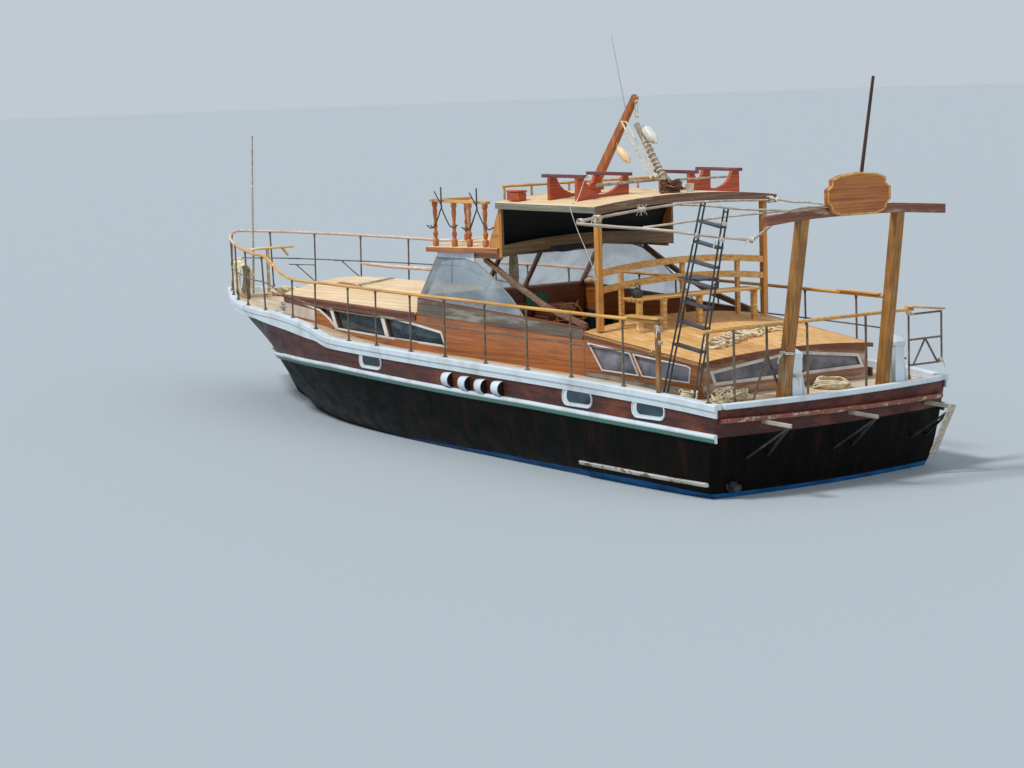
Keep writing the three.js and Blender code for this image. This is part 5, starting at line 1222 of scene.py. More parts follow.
# Bench on the aft cabin top.
# Back rails bent over three posts, and a seat of four boards on square legs, all golden
# varnished. A sooty kettle stands at the port end.
eased_copy("bench_back", 0.007, golden_rail_wood, name="bench_back_rails")
BENCH_X, BENCH_Y, BENCH_TOP = (-5.44, -5.09), (-1, 1.18), 2.355
BOARDS, BOARD_GAP = 4, 0.014
board_wide = (BENCH_X[1] - BENCH_X[0] - BOARD_GAP * (BOARDS - 1)) / BOARDS
board_xs = [BENCH_X[0] + board_wide / 2 + k * (board_wide + BOARD_GAP) for k in range(BOARDS)]
seat_parts = [plank((x, BENCH_Y[0], BENCH_TOP - 0.016), (x, BENCH_Y[1], BENCH_TOP - 0.016), board_wide,
                    0.03) for x in board_xs]


def aft_top(x, y):
    """Height of the aft cabin top at x and y."""
    share = (x - AFT_TOP_AFT[0]) / (AFT_TOP_FORE[0] - AFT_TOP_AFT[0])
    edge = AFT_TOP_AFT[2] + (AFT_TOP_FORE[2] - AFT_TOP_AFT[2]) * share
    crown = AFT_TOP_AFT[3] + (AFT_TOP_FORE[3] - AFT_TOP_AFT[3]) * share
    half = AFT_TOP_AFT[1] + (AFT_TOP_FORE[1] - AFT_TOP_AFT[1]) * share
    return edge + crown * (1 - (y / half) ** 2)


for y in (-0.92, 0.07, 0.7, 1.12):
    seat_parts.append(plank((-5.365, y, aft_top(-5.365, abs(y) + 0.035) - 0.002),
                            (-5.365, y, BENCH_TOP - 0.033), 0.07, 0.07, (1, 0, 0)))
    seat_parts.append(plank((BENCH_X[0] + 0.01, y, BENCH_TOP - 0.045),
                            (BENCH_X[1] - 0.01, y, BENCH_TOP - 0.045), 0.05, 0.026))
bench = piece("bench_boards_and_legs", seat_parts, timber(  # pale golden varnish, rubbed by use
    "golden_bench_timber", ("a4702f", "cf9c52", "e9c98e"), run="y", worn="e4d3ab", rough=(0.45, 0.7),
    worn_from=0.56, coat=0.1), ease=0.004)
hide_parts("bench_seat")
kettle_x, kettle_y = -5.25, 1.06
kettle = piece("sooty_kettle", [
    turned(((0, 0), (0.062, 0), (0.074, 0.025), (0.076, 0.06), (0.06, 0.105), (0.042, 0.118),
            (0.042, 0.124), (0.014, 0.132), (0.012, 0.148), (0, 0.15)),
           (kettle_x, kettle_y, BENCH_TOP), 22),
    swept([(kettle_x + 0.05 * math.cos(t), kettle_y, BENCH_TOP + 0.11 + 0.085 * math.sin(t))
           for t in np.linspace(0.05, math.pi - 0.05, 13)], rounded(0.0055, 8), (0, 1, 0)),
    swept([(kettle_x, kettle_y + 0.06, BENCH_TOP + 0.05), (kettle_x, kettle_y + 0.105, BENCH_TOP + 0.075),
           (kettle_x, kettle_y + 0.12, BENCH_TOP + 0.115)], rounded(0.012, 10), (1, 0, 0))], black_iron,
    crease=50)

# Guard rails.
# Round wooden handrail on square-footed steel stanchions with a thin middle rail, high round
# the bow and stepping down to the side decks. Varnish still holds to port; starboard is bleached.
# Oxidised steel is a soft brown with redder blooms of rust.
rail_brown_steel = uneven("brown_oxidised_steel", (14, 14, 14), (0.35, "4b4138"), (0.55, "6f5f4f"),
                          (0.72, "96785a"), detail=6, rough=(0.4, 0.7, 0.4, 0.75), relief=0.0006)
pink_bleached_rail = timber("pink_bleached_rail", ("b08f7d", "cfb4a2", "e4d1c3"), worn="f0e4da",
                            rough=(0.55, 0.85), worn_from=0.55)
PULPIT_TIP, PULPIT_ROOT, PULPIT_HALF, PULPIT_POWER = 7.74, 3.39, 1.92, 1.295
PULPIT_FRONT_Z, PULPIT_ROOT_Z, SIDE_RAIL_Z = 2.74, 2.58, 2.27
PULPIT_XS = (7.7, 7.55, 7.25, 6.8, 6.2, 5.5, 4.7, 4, 3.39)
SIDE_RAIL_XS = (2.6, 1.1, -0.8, -2.6, -4.5, -6.1, -6.92)
STANCHIONS = (7.3, 6.5, 5.6, 4.6, 3.6, 2.46, 1.63, 0.56, -0.27, -1.24, -2.14, -3.15, -4.14, -5.12,
              -6.21, -6.9)


def rail_points(share):
    """Corners of the guard rail to port, at a share of its height above the strake."""
    points = []
    for x in (PULPIT_TIP, *PULPIT_XS, *SIDE_RAIL_XS):
        if x >= PULPIT_ROOT:
            rise_share = (x - PULPIT_ROOT) / (PULPIT_TIP - PULPIT_ROOT)
            y = max(0.001, PULPIT_HALF * (1 - rise_share ** PULPIT_POWER) ** (1 / PULPIT_POWER))
            top = PULPIT_ROOT_Z + (PULPIT_FRONT_Z - PULPIT_ROOT_Z) * rise_share
        else:
            y, top = faired(x, 1) - 0.03, SIDE_RAIL_Z + x * 0.008
        points.append((x, float(y), float(sheer_z(x) + (top - sheer_z(x)) * share)))
    return np.array(points)


def eased_route(points, per=4):
    """Corners of a route with a smooth curve run through them."""
    points = np.asarray(points, float)
    padded = np.vstack([2 * points[0] - points[1], points, 2 * points[-1] - points[-2]])
    route = []
    for i in range(1, len(padded) - 2):
        a, b, c, d = padded[i - 1:i + 3]
        for t in np.arange(per) / per:
            route.append(0.5 * (2 * b + (c - a) * t + (2 * a - 5 * b + 4 * c - d) * t ** 2
                                + (3 * b - a - 3 * c + d) * t ** 3))
    return np.vstack([route, points[-1]])


top_points = rail_points(1)
rail_parts = [swept(eased_route(top_points), rounded(0.024, 12))]
steel_parts = [swept(eased_route(rail_points(0.52)), rounded(0.011, 8))]
for x in STANCHIONS:
    head = [float(np.interp(x, top_points[::-1, 0], top_points[::-1, k])) for k in (1, 2)]
    foot = (x, float(faired(x, 1)) - 0.025, float(sheer_z(x)) + 0.006)
    steel_parts.append(rod(foot, (x, head[0], head[1] - 0.005), 0.0145, 10))
    steel_parts.append(turned(((0.036, 0), (0.036, 0.008), (0.02, 0.014), (0.018, 0.045), (0, 0.045)),
                              foot, 12))
    rail_parts.append(turned(((0, -0.058), (0.02, -0.058), (0.022, -0.02), (0, -0.018)),
                             (x, head[0], head[1]), 10))
for (side, place_on), finishes, changes_at in zip(
        SIDES, ((golden_rail_wood, pink_bleached_rail), (pink_bleached_rail, golden_rail_wood)), (5.7, -1)):
    handrail = piece(f"handrail_{side}", place_on(rail_parts[:1]), *finishes, crease=50)
    bleached_first = side == "starboard"
    choose(handrail, lambda face: (face.center.x > changes_at) != bleached_first)
    steelwork = piece(f"stanchions_{side}", place_on(steel_parts + rail_parts[1:]), rail_brown_steel,
                      crease=50)
    for part in (handrail, steelwork):
        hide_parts(f"guard_rail_{side}")

# Stern rail and quarter frame.
# Driftwood-straight handrail on steel posts, one of them forked, and a welded frame over the
# starboard quarter with a forked stay. Short boards are tied flat on both ends.
STERN_X, STERN_Z, STERN_DECK_Z = -7.835, 2.15, 1.176
stern_parts, steel_parts = [rod((STERN_X, 2.06, STERN_Z), (STERN_X, -1.56, STERN_Z), 0.024, 12)], []
for y, foot in ((2, float(sheer_z(STERN_X)) + 0.004), (1.57, STERN_DECK_Z), (0.33, STERN_DECK_Z),
                (-0.7, STERN_DECK_Z)):
    steel_parts.append(rod((STERN_X, y, foot), (STERN_X, y, STERN_Z - 0.005), 0.016, 10))
    steel_parts.append(turned(((0.04, 0), (0.04, 0.008), (0.022, 0.016), (0, 0.016)),
                              (STERN_X, y, foot - 0.002), 12))
FORK_Y, FORK_Z, FORK_SPREAD = 1.02, 1.76, 0.26
steel_parts.append(rod((STERN_X, FORK_Y, FORK_Z), (STERN_X, FORK_Y, STERN_Z - 0.005), 0.017, 10))
for spread in (FORK_SPREAD, -FORK_SPREAD):
    steel_parts.append(rod((STERN_X, FORK_Y, FORK_Z + 0.01), (STERN_X, FORK_Y + spread, STERN_DECK_Z),
                           0.017, 10))
INNER_Y, STAY_Y, OUTER_Y = -1.48, -1.785, -2.09
FRAME_TOP, FRAME_MIDDLE, FRAME_FOOT = 2.08, 1.74, 1.4
for y0, z0, y1, z1 in ((INNER_Y, STERN_DECK_Z, INNER_Y, STERN_Z),
                       (INNER_Y - 0.02, FRAME_TOP, OUTER_Y, FRAME_TOP),
                       (OUTER_Y, FRAME_FOOT, OUTER_Y, FRAME_TOP), (INNER_Y, FRAME_FOOT, OUTER_Y, FRAME_FOOT),
                       (INNER_Y, FRAME_MIDDLE, OUTER_Y, FRAME_MIDDLE),
                       (STAY_Y, FRAME_MIDDLE, INNER_Y - 0.08, FRAME_FOOT),
                       (STAY_Y, FRAME_MIDDLE, OUTER_Y + 0.08, FRAME_FOOT)):
    steel_parts.append(rod((STERN_X, y0, z0), (STERN_X, y1, z1), 0.014, 10))
stern_rail_wood = piece("stern_handrail", stern_parts, golden_rail_wood, crease=50)
stern_steel = piece("stern_rail_steelwork", steel_parts, rail_brown_steel, crease=50)
for part in (stern_rail_wood, stern_steel):
    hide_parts("stern_rail")
tied_boards = piece("tied_rail_boards", [
    plank((STERN_X - 0.02, -1.46, 2.19), (STERN_X + 0.02, -2.12, 2.112), 0.13, 0.026),
    plank((-6.32, 2.06, 2.262), (-6.94, 2.02, 2.255), 0.13, 0.028)], golden_rail_wood, ease=0.004)

# Stern gantry and name board.
# Two raked square posts carry a cambered beam, pegged and lashed, with a tapered flagstaff.
# The carved board is bare: an oval plank with notched shoulders and a raised rim.
# The posts keep a little varnish, the beam is dry and brown, the staff nearly black, and the
# carved board golden brown.
gantry_timber = timber("gantry_golden_brown_timber", ("66411b", "9c692b", "c68f47"), run="z", worn="a59478",
                       rough=(0.4, 0.75), worn_from=0.56, coat=0.1)
beam_timber = timber("gantry_weathered_beam", ("5c3324", "7f4c37", "a57358"), run="y", worn="b7a08f",
                     rough=(0.5, 0.8), worn_from=0.55)
dark_staff = timber("dark_stained_staff", ("2b1a12", "452c1f", "6a4a35"), run="z", rough=(0.45, 0.7))
board_timber = timber("carved_board_timber", ("7a421a", "ad6428", "cf8a44"), run="y", worn="c09a6a",
                      rough=(0.45, 0.7), worn_from=0.62, coat=0.15)
gantry = eased_copy("stern_gantry", 0.01, gantry_timber, beam_timber, dark_staff, name="raked_stern_gantry")


def gantry_finish(face):
    """Dark staff, weathered beam, golden brown posts."""
    _, y, z = face.center
    if z > 3.72 or (abs(y + 0.13) < 0.05 and z > 3.66):
        return 2
    return z > 3.46 or (z > 3.4 and abs(face.normal.z) > 0.6)


choose(gantry, gantry_finish)
eased_copy("name_board", 0.008, board_timber, name="bare_name_board")
BOARD_RIM = ((-0.33, 3.51), (0.33, 3.51), (0.47, 3.56), (0.5, 3.64), (0.56, 3.69), (0.56, 3.85), (0.48, 3.9),
             (0.48, 3.975), (0.33, 4.025), (0, 4.055), (-0.33, 4.025), (-0.48, 3.975), (-0.48, 3.9),
             (-0.56, 3.85), (-0.56, 3.69), (-0.5, 3.64), (-0.47, 3.56))
rim_middle = np.mean(BOARD_RIM, axis=0)
inset = rim_middle + (np.array(BOARD_RIM) - rim_middle) * 0.94
for end, face_x, out in (("aft", -8.477, -1), ("fore", -8.43, 1)):
    rim = piece(f"name_board_rim_{end}", [swept(
        [(face_x, y, z) for y, z in inset], squared(0.014, -0.004, 0.01, 0.009), (out, 0, 0), looped=True)],
        golden_rail_wood)

# Samson posts.
# Square oak posts through the quarterdeck with weathered pyramid heads under white paint, a
# cross pin each, and a white raking strut on the after side.
for side, y in (("port", 0.68), ("starboard", -1.13)):
    eased_copy(f"bollard_{side}", 0.01, old_white_paint, name=f"samson_post_{side}")
    strut = piece(f"samson_strut_{side}", [plank((-7.995, y - 0.13, 1.174), (-7.945, y - 0.088, 1.58),
                                                 0.03, 0.075)], old_white_paint, ease=0.004)
    pin = piece(f"samson_pin_{side}", [rod((-7.94, y - 0.19, 1.52), (-7.94, y + 0.19, 1.52), 0.014, 12)],
                black_iron)

# Boarding ladder.
# Steel ladder lashed upright at the port quarter: twin-tube stiles and broad treads, under
# worn grey paint.
grey_ladder = paintwork("worn_dark_grey_paint", "303338", "6b5a4b", chips=0.66)
LADDER_Y, TUBE_APART = 1.86, 0.034
STILES = (((-6.79, 1.215), (-7.64, 3.75)), ((-7.4, 1.18), (-8.08, 3.68)))
TREADS, TREAD_DROP = (1.93, 2.23, 2.49, 2.75, 3.01, 3.26, 3.52), 0.07


def stile_x(stile, z):
    (x0, z0), (x1, z1) = stile
    return x0 + (x1 - x0) * (z - z0) / (z1 - z0)


ladder_parts = []
for (x0, z0), (x1, z1) in STILES:
    for off in (TUBE_APART, -TUBE_APART):
        ladder_parts.append(rod((x0, LADDER_Y + off, z0), (x1, LADDER_Y + off, z1), 0.0125, 10))
    for share in (0.02, 0.5, 0.985):
        x, z = x0 + (x1 - x0) * share, z0 + (z1 - z0) * share
        ladder_parts.append(rod((x, LADDER_Y - TUBE_APART, z), (x, LADDER_Y + TUBE_APART, z), 0.01, 8))
for z in TREADS:
    ladder_parts.append(plank((stile_x(STILES[0], z) + 0.005, LADDER_Y, z),
                              (stile_x(STILES[1], z - TREAD_DROP) - 0.005, LADDER_Y, z - TREAD_DROP),
                              0.11, 0.026))
ladder = piece("twin_tube_ladder", ladder_parts, grey_ladder, ease=0.002, crease=50)
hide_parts("ladder")
ladder_shelf = piece("ladder_shelf", [
    plank((-7.02, 1.62, 2.775), (-7.44, 1.62, 2.755), 0.34, 0.022),
    rod((stile_x(STILES[0], 2.74), LADDER_Y, 2.742), (-7.04, 1.47, 2.758), 0.012, 8),
    rod((stile_x(STILES[1], 2.72), LADDER_Y, 2.722), (-7.44, 1.47, 2.738), 0.012, 8)], grey_ladder,
    ease=0.003)

# Poles.
# Peeled saplings gone grey, lashed where they cross at the roof corner and at the ladder, and
# laid aft to the gantry beam. One more stands upright on the stem head.
pole_wood = timber("peeled_grey_pole", ("857a6b", "aca293", "d3cabc"), worn="e6dfd4", rough=(0.6, 0.85),
                   worn_from=0.55)


def sapling(start, end, butt, tip, bow=0, wave=0.01, phase=0):
    """Peeled pole between two points, tapered, a little crooked, and bowed up at its middle."""
    start, end = np.array(start, float), np.array(end, float)
    length = np.linalg.norm(end - start)
    _, side, other = square_to(end - start, (0.13, 0.31, 0.7))
    count = max(10, int(length / 0.12))
    corners = []
    for share in np.linspace(0, 1, count + 1):
        swing = wave * math.sin(math.pi * share)
        spot = start + (end - start) * share + side * swing * math.sin(5 * share * length / 2 + phase)
        spot = spot + other * swing * math.cos(3 * share * length / 2 + phase)
        spot[2] += bow * math.sin(math.pi * share)
        radius = (butt + (tip - butt) * share) * (1 + 0.05 * math.sin(share * length * 13 + phase))
        corners += [spot + (side * math.cos(t) + other * math.sin(t)) * radius for t in around(12)]
    return np.array(corners), rings_to_faces(count + 1, 12)


awning_poles = piece("awning_poles", [
    sapling((-5.125, 1.88, 3.44), (-5.125, -1.5, 3.535), 0.021, 0.016, bow=0.075),
    sapling((-5.07, 1.905, 3.405), (-8.08, 1.44, 3.27), 0.022, 0.019, phase=1)], pole_wood, crease=60)
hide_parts("awning_poles")
aft_poles = piece("aft_poles", [
    sapling((-6.2, 1.68, 3.375), (-8.35, 0.35, 3.65), 0.016, 0.013, phase=2),
    sapling((-5.11, 0.15, 3.56), (-8.35, 1.05, 3.615), 0.017, 0.014, phase=3),
    sapling((-5.11, -1.47, 3.56), (-8.35, 0.45, 3.662), 0.016, 0.013, phase=4),
    sapling((-8.06, 1.44, 3.262), (-8.35, 1.24, 3.52), 0.018, 0.016, wave=0.003),
    sapling((-8.34, 1.3, 3.56), (-8.36, 0.56, 3.64), 0.011, 0.009, bow=0.045)], pole_wood, crease=60)
bow_pole = piece("upright_bow_pole", [
    sapling((7.3, 0, 1.618), (7.095, 0, 4.46), 0.021, 0.014, wave=0.006)], pole_wood, crease=60)
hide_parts("bow_pole")

# Lashings.
# White cord wound round each crossing of the poles and round the ladder and gantry, its ends
# left long. One old lashing on the cross pole has frayed into a brush. Braided cord is chalky
# and matt; its braid is drawn 10 mm apart, so that it shows.
pale_cord = uneven("white_braided_cord", (16, 16, 16), (0.3, "a89f90"), (0.55, "dad3c6"), (0.75, "f3efe6"),
                   rough=0.88, relief=0.002, lay=(32, 2, "DIAGONAL"))


def bound(spot, run, core, thick=0.008, turns=4, lean=0, ends=()):
    """Turns of cord round a spar, closed up along its run, with short ends that droop."""
    spot = np.array(spot, float)
    run, side, other = square_to(run, (0.21, 0.13, 1))
    reach = core + thick * 0.8
    route = [spot + run * ((t / (2 * math.pi) - turns / 2) * thick * 2.1 + lean * reach * math.cos(t))
             + (side * math.cos(t) + other * math.sin(t)) * reach
             for t in np.linspace(0, turns * 2 * math.pi, turns * 14 + 1)]
    parts = [swept(route, rounded(thick, 6), run)]
    for dx, dy, dz in ends:
        tip = np.array((dx, dy, dz))
        root = spot + np.array((dx, dy, 0)) * reach / max(0.01, math.hypot(dx, dy))
        parts.append(swept([root, root + tip * (0.5, 0.5, 0.15), root + tip * (0.9, 0.9, 0.6), root + tip],
                           rounded(thick * 0.9, 6), (0.3, 0.9, 0.1)))
    return parts


lashing_parts = []
for spot, run, core, turns, lean, ends in (
        ((-5.1, 1.6, 3.452), (0, 1, 0), 0.036, 4, 0.6, ((-0.05, 0.06, -0.05), (0.04, 0.02, -0.09))),
        ((-5.1, 1.875, 3.425), (0.4, 1, 0), 0.034, 3, 0.4, ()),
        ((-5.12, -1.46, 3.545), (0, 1, 0), 0.036, 4, 0.3, ((-0.03, -0.07, 0.02),)),
        ((-5.6, -1.19, 3.57), (1, -0.6, 0), 0.02, 3, 0.2, ((-0.04, 0.03, -0.05),)),
        ((stile_x(STILES[0], 3.33), 1.86, 3.33), (-0.3, 0, 1), 0.03, 4, 0.5, ((-0.02, 0.07, -0.1),)),
        ((stile_x(STILES[1], 3.3), 1.86, 3.3), (-0.3, 0, 1), 0.03, 4, 0.5, ((0.04, 0.05, -0.12),)),
        ((stile_x(STILES[1], 3.5), 1.86, 3.5), (-0.25, 0, 1), 0.032, 3, 0.2, ((0.03, 0.06, 0.05),)),
        ((-8.07, 1.44, 3.268), (-1, -0.15, 0), 0.026, 4, 0.5, ((-0.05, 0.02, -0.06), (0.04, 0.05, -0.07))),
        ((-8.355, 0.42, 3.655), (0.5, 1, 0), 0.03, 3, 0.4, ()),
        ((-7.835, -1.48, 2.11), (0, 0.2, 1), 0.026, 4, 0.3, ((-0.05, -0.03, -0.09),)),
        ((-7.835, -2.06, 1.42), (0, 1, 0), 0.02, 3, 0.3, ((-0.03, -0.02, -0.1),)),
        ((-7.94, 0.68, 1.5), (0, 0.1, 1), 0.112, 3, 0.1, ((-0.1, 0.04, -0.12),)),
        ((-8.05, 0.866, 1.79), (0, 0, 1), 0.092, 2, 0.2, ((-0.02, 0.1, -0.11),)),
        ((-6.9, 2.02, 2.12), (0, 0, 1), 0.042, 5, 0.2, ((-0.03, 0.05, -0.1),)),
        ((-6.9, 2.02, 1.95), (0, 0, 1), 0.04, 3, 0.2, ((0.04, 0.04, -0.12),))):
    lashing_parts += bound(spot, run, core, turns=turns, lean=lean, ends=ends)
FRAYED_Y, FRAY_COUNT = 0.86, 14
for k in range(FRAY_COUNT):
    swing = 2 * math.pi * k / FRAY_COUNT
    out = np.array((0.012 * math.cos(swing), 0.075 * math.sin(swing * 1.7 + 0.4), 0))
    root = np.array((-5.14, FRAYED_Y + 0.008 * (k - 7), 3.545))
    fall = -0.05 - 0.045 * abs(math.sin(k * 2.3)) if k % 3 else 0.06
    lashing_parts.append(swept([root, root + out * 0.6 + (0, 0, fall * 0.35), root + out + (0, 0, fall)],
                               rounded(0.0035, 5), (1, 0, 0)))
lashings = piece("cord_lashings", lashing_parts + bound((-5.125, FRAYED_Y, 3.53), (0, 1, 0), 0.022, turns=6),
                 pale_cord, crease=60)
rail_sleeve = piece("bound_quarter_post", [turned(
    ((0.034, 0), (0.038, 0.02), (0.035, 0.4), (0.039, 0.62), (0.033, 0.9), (0.03, 0.92)),
    (-6.9, float(faired(-6.9, 1)) - 0.026, float(sheer_z(-6.9)) + 0.01), 14)], gantry_timber, crease=50)

# Ropes.
# Mooring and anchor rope of laid fibre, thrown down in loose turns or coiled where it was left,
# each turn lying on what is under it. Both ends are whipped with a stopper knot.
QUARTERDECK_Z = 1.1735
# Tarred rope is brown and dull; its strands are drawn about 10 mm apart, so that they show.
brown_rope = uneven("tarred_brown_rope", (14, 14, 14), (0.3, "3a2417"), (0.5, "6a4630"), (0.7, "9a7454"),
                    rough=0.92, relief=0.003, lay=(30, 3, "DIAGONAL"))


def run_length(route):
    """Length along a route, at each of its points."""
    return np.concatenate([[0], np.cumsum(np.linalg.norm(np.diff(route, axis=0), axis=1))])


def along_route(points, spacing):
    """Route of even spacing through close points."""
    points = np.asarray(points, float)
    runs = run_length(points)
    at = np.arange(0, runs[-1], spacing)
    return np.stack([np.interp(at, runs, points[:, k]) for k in range(points.shape[1])], axis=1)


# In rope diameters: spacing of a route's points, height of its middle over what it lies on, how
# near another pass is felt, how far apart crossing passes lie; and the steepest climb.
POINT_EVERY, REST_HIGH, FELT_WITHIN, LAID_OVER, CLIMB = 0.45, 0.54, 1.1, 1.12, 0.3
TURN_POINTS, DRIFT_RUNS, HANK_POINTS, HANK_PITCH = 44, 2.6, 36, 1.25


def laid_down(plan, thick, floor_at):
    """Route over a plan of points: each pass rests on the floor or on the passes before it."""
    plan = along_route(plan, thick * POINT_EVERY)
    height = np.array([floor_at(x, y) for x, y in plan]) + thick * REST_HIGH
    skip, slope = 7, CLIMB * thick * POINT_EVERY
    gaps = [np.hypot(*(plan[:max(0, i - skip)] - plan[i]).T) for i in range(len(plan))]
    for _ in range(5):
        for i in range(skip + 1, len(plan)):
            near = gaps[i] < thick * FELT_WITHIN
            if near.any():
                lift = np.sqrt((thick * LAID_OVER) ** 2 - gaps[i][near] ** 2)
                height[i] = max(height[i], np.max(height[:i - skip][near] + lift))
        for i in range(1, len(plan)):
            height[i] = max(height[i], height[i - 1] - slope)
        for i in range(len(plan) - 2, -1, -1):
            height[i] = max(height[i], height[i + 1] - slope)
    return np.column_stack([plan, height])


def thrown(drift, spread, turn, length, seed, phase=0):
    """Plan of a rope thrown down: loose turns whose middle wanders along a drift line. The first
    half turn comes in from outside them, at the angle phase."""
    chance = np.random.default_rng(seed)
    drift = np.array(drift, float)
    count = int(length / (2 * math.pi * turn[0])) + 2
    knots = np.arange(count * 2)
    wander = chance.uniform(-1, 1, (len(knots), 2)) * spread
    radii = chance.uniform(turn[0], turn[1], len(knots))
    laps = np.linspace(0, count, count * TURN_POINTS)
    shares = np.abs((laps / count * DRIFT_RUNS) % 2 - 1)
    middle = np.stack([np.interp(shares, np.linspace(0, 1, len(drift)), drift[:, k]) for k in (0, 1)],
                      axis=1)
    slow = 0.5 - 0.5 * np.cos(math.pi * ((laps * 2) % 1))
    low = np.minimum((laps * 2).astype(int), len(knots) - 2)
    middle += wander[low] + (wander[low + 1] - wander[low]) * slow[:, None]
    radius = radii[low] + (radii[low + 1] - radii[low]) * slow
    radius = radius * (1 + 0.45 * np.clip(1 - laps / 0.6, 0, 1) ** 1.5)
    turns = 2 * math.pi * laps + phase
    plan = middle + radius[:, None] * np.stack([np.cos(turns), np.sin(turns)], axis=1)
    return plan[run_length(plan) <= length]


def rope_line(name, route, thick, finish):
    """Round rope on one open curve."""
    line = bpy.data.curves.new(name, "CURVE")
    line.dimensions = "3D"
    line.bevel_depth = thick / 2
    line.bevel_resolution = 2
    line.use_fill_caps = True
    run = line.splines.new("POLY")
    run.points.add(len(route) - 1)
    run.points.foreach_set("co", np.column_stack([route, np.ones(len(route))]).ravel())
    line.materials.append(finish)
    made = placed(name, line)
    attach(made, "boat")
    return made


def stopper(name, route, thick, finish):
    """Stopper knot on the first end of a route: three fat turns round it."""
    run = (route[0] - route[4]) * (1, 1, 0.3)
    made = piece(name, bound(route[0], run, thick * 0.62, thick * 0.42, 3, 0.3), finish, crease=70)
    return made


def free_rope(name, route, thick, finish):
    """Rope with a stopper knot on its far end and a hitch where it starts."""
    line = rope_line(name, route, thick, finish)
    knot = stopper(f"{name}_knot", route[::-1], thick, finish)
    hitch = stopper(f"{name}_hitch", route, thick, finish)
    return line


def quarterdeck(x, y):
    return QUARTERDECK_Z


def foredeck(x, y):
    return float(deck_z(x)) + 0.001


COIL_CENTRE, COIL_INNER, COIL_OUTER = np.array((-7.47, -0.43)), 0.17, 0.25
COIL_TURNS, COIL_ROPE, COIL_LOOSE = 8, 0.0235, 0.014
coil_plan = []
for t in np.linspace(0, COIL_TURNS, COIL_TURNS * 60):
    share = t / (COIL_TURNS / 2)
    radius = COIL_INNER + (COIL_OUTER - COIL_INNER) * (share if share <= 1 else 2 - share)
    loose = COIL_LOOSE * np.array((math.cos(1.9 * t), math.sin(2.7 * t)))
    angle = 2 * math.pi * t
    coil_plan.append(COIL_CENTRE + loose + radius * np.array((math.cos(angle), math.sin(angle))))
coil_route = laid_down(coil_plan, COIL_ROPE, quarterdeck)
coil_line = free_rope("quarterdeck_coil", coil_route, COIL_ROPE, natural_rope)
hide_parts("coil_quarterdeck")
# Rows: name, what it lies on, finish, diameter and length in metres, least and most turn radius,
# spread, seed, phase and drift line.
HEAPS = (
    ("port_quarter_rope", quarterdeck, natural_rope, 0.022, 13, (0.095, 0.165), 0.07, 5, 0.4,
     ((-7.43, 1.13), (-7.43, 1.52))),
    ("cabin_top_rope", lambda x, y: aft_top(x, y) + 0.002, natural_rope, 0.024, 15, (0.1, 0.19), 0.032,
     11, 2.6, ((-6.62, 0.92), (-6.3, 0.1), (-5.95, -0.95))),
    ("foredeck_rope", foredeck, natural_rope, 0.028, 19, (0.11, 0.18), 0.055, 23, 0.6,
     ((6.72, -0.08), (6.3, -0.42), (5.8, -0.86))),
    ("side_deck_line", foredeck, pale_cord, 0.024, 9, (0.08, 0.13), 0.045, 31, 1,
     ((4.52, 0.86), (4.2, 1.18))),
    ("roof_line", lambda x, y: roof_top(y) + 0.001, brown_rope, 0.02, 9, (0.07, 0.13), 0.045, 47, 2,
     ((-4.84, 0.02), (-4.8, 0.1))),
    ("quarter_corner_line", quarterdeck, natural_rope, 0.018, 5, (0.06, 0.11), 0.05, 53, 1.2,
     ((-7.66, -1.4), (-7.6, -1.72))),
    ("ladder_foot_rope", quarterdeck, natural_rope, 0.022, 5.5, (0.07, 0.12), 0.025, 61, 0.2,
     ((-7.1, 1.74), (-7.06, 1.68))),
    ("bulwark_rope", foredeck, natural_rope, 0.03, 9, (0.09, 0.14), 0.02, 71, 0.5,
     ((6.1, -1.1), (5.3, -1.36))))
for name, floor_at, finish, thick, length, turn, spread, seed, phase, drift in HEAPS:
    plan = thrown(drift, spread, turn, length, seed, phase)
    line = free_rope(name, laid_down(plan, thick, floor_at), thick, finish)
    if name == "port_quarter_rope":
        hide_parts("rope_heap_quarter")


def hung_hank(head, run, turns, thick, half_width, drop, wobble, seed):
    """Rope hung in long turns over a bar: over its top, down one side and up the other."""
    chance = np.random.default_rng(seed)
    head, run = np.array(head, float), unit(run)
    out = unit(np.cross(run, (0, 0, 1)))
    lows = drop + chance.uniform(-wobble, wobble, turns + 1)
    route = []
    for k in range(turns):
        for t in np.arange(HANK_POINTS) / HANK_POINTS:
            straight = lows[k] + (lows[k + 1] - lows[k]) * t - 2 * half_width
            share = (4 * t) % 1
            swell, swing = math.sin(math.pi * share), math.cos(math.pi * share)
            side, rise_up = ((-swing, half_width * swell), (1 + swell / 4, -straight * share),
                             (swing, -straight - half_width * swell),
                             (-1 - swell / 4, straight * (share - 1)))[int(4 * t)]
            route.append(head + out * half_width * side + (0, 0, rise_up - half_width)
                         + run * (k + t) * thick * HANK_PITCH)
    hung = along_route(eased_route(route, 4), thick * 0.5)
    return hung[int(math.pi / 2 * half_width / (thick * 0.5)):]


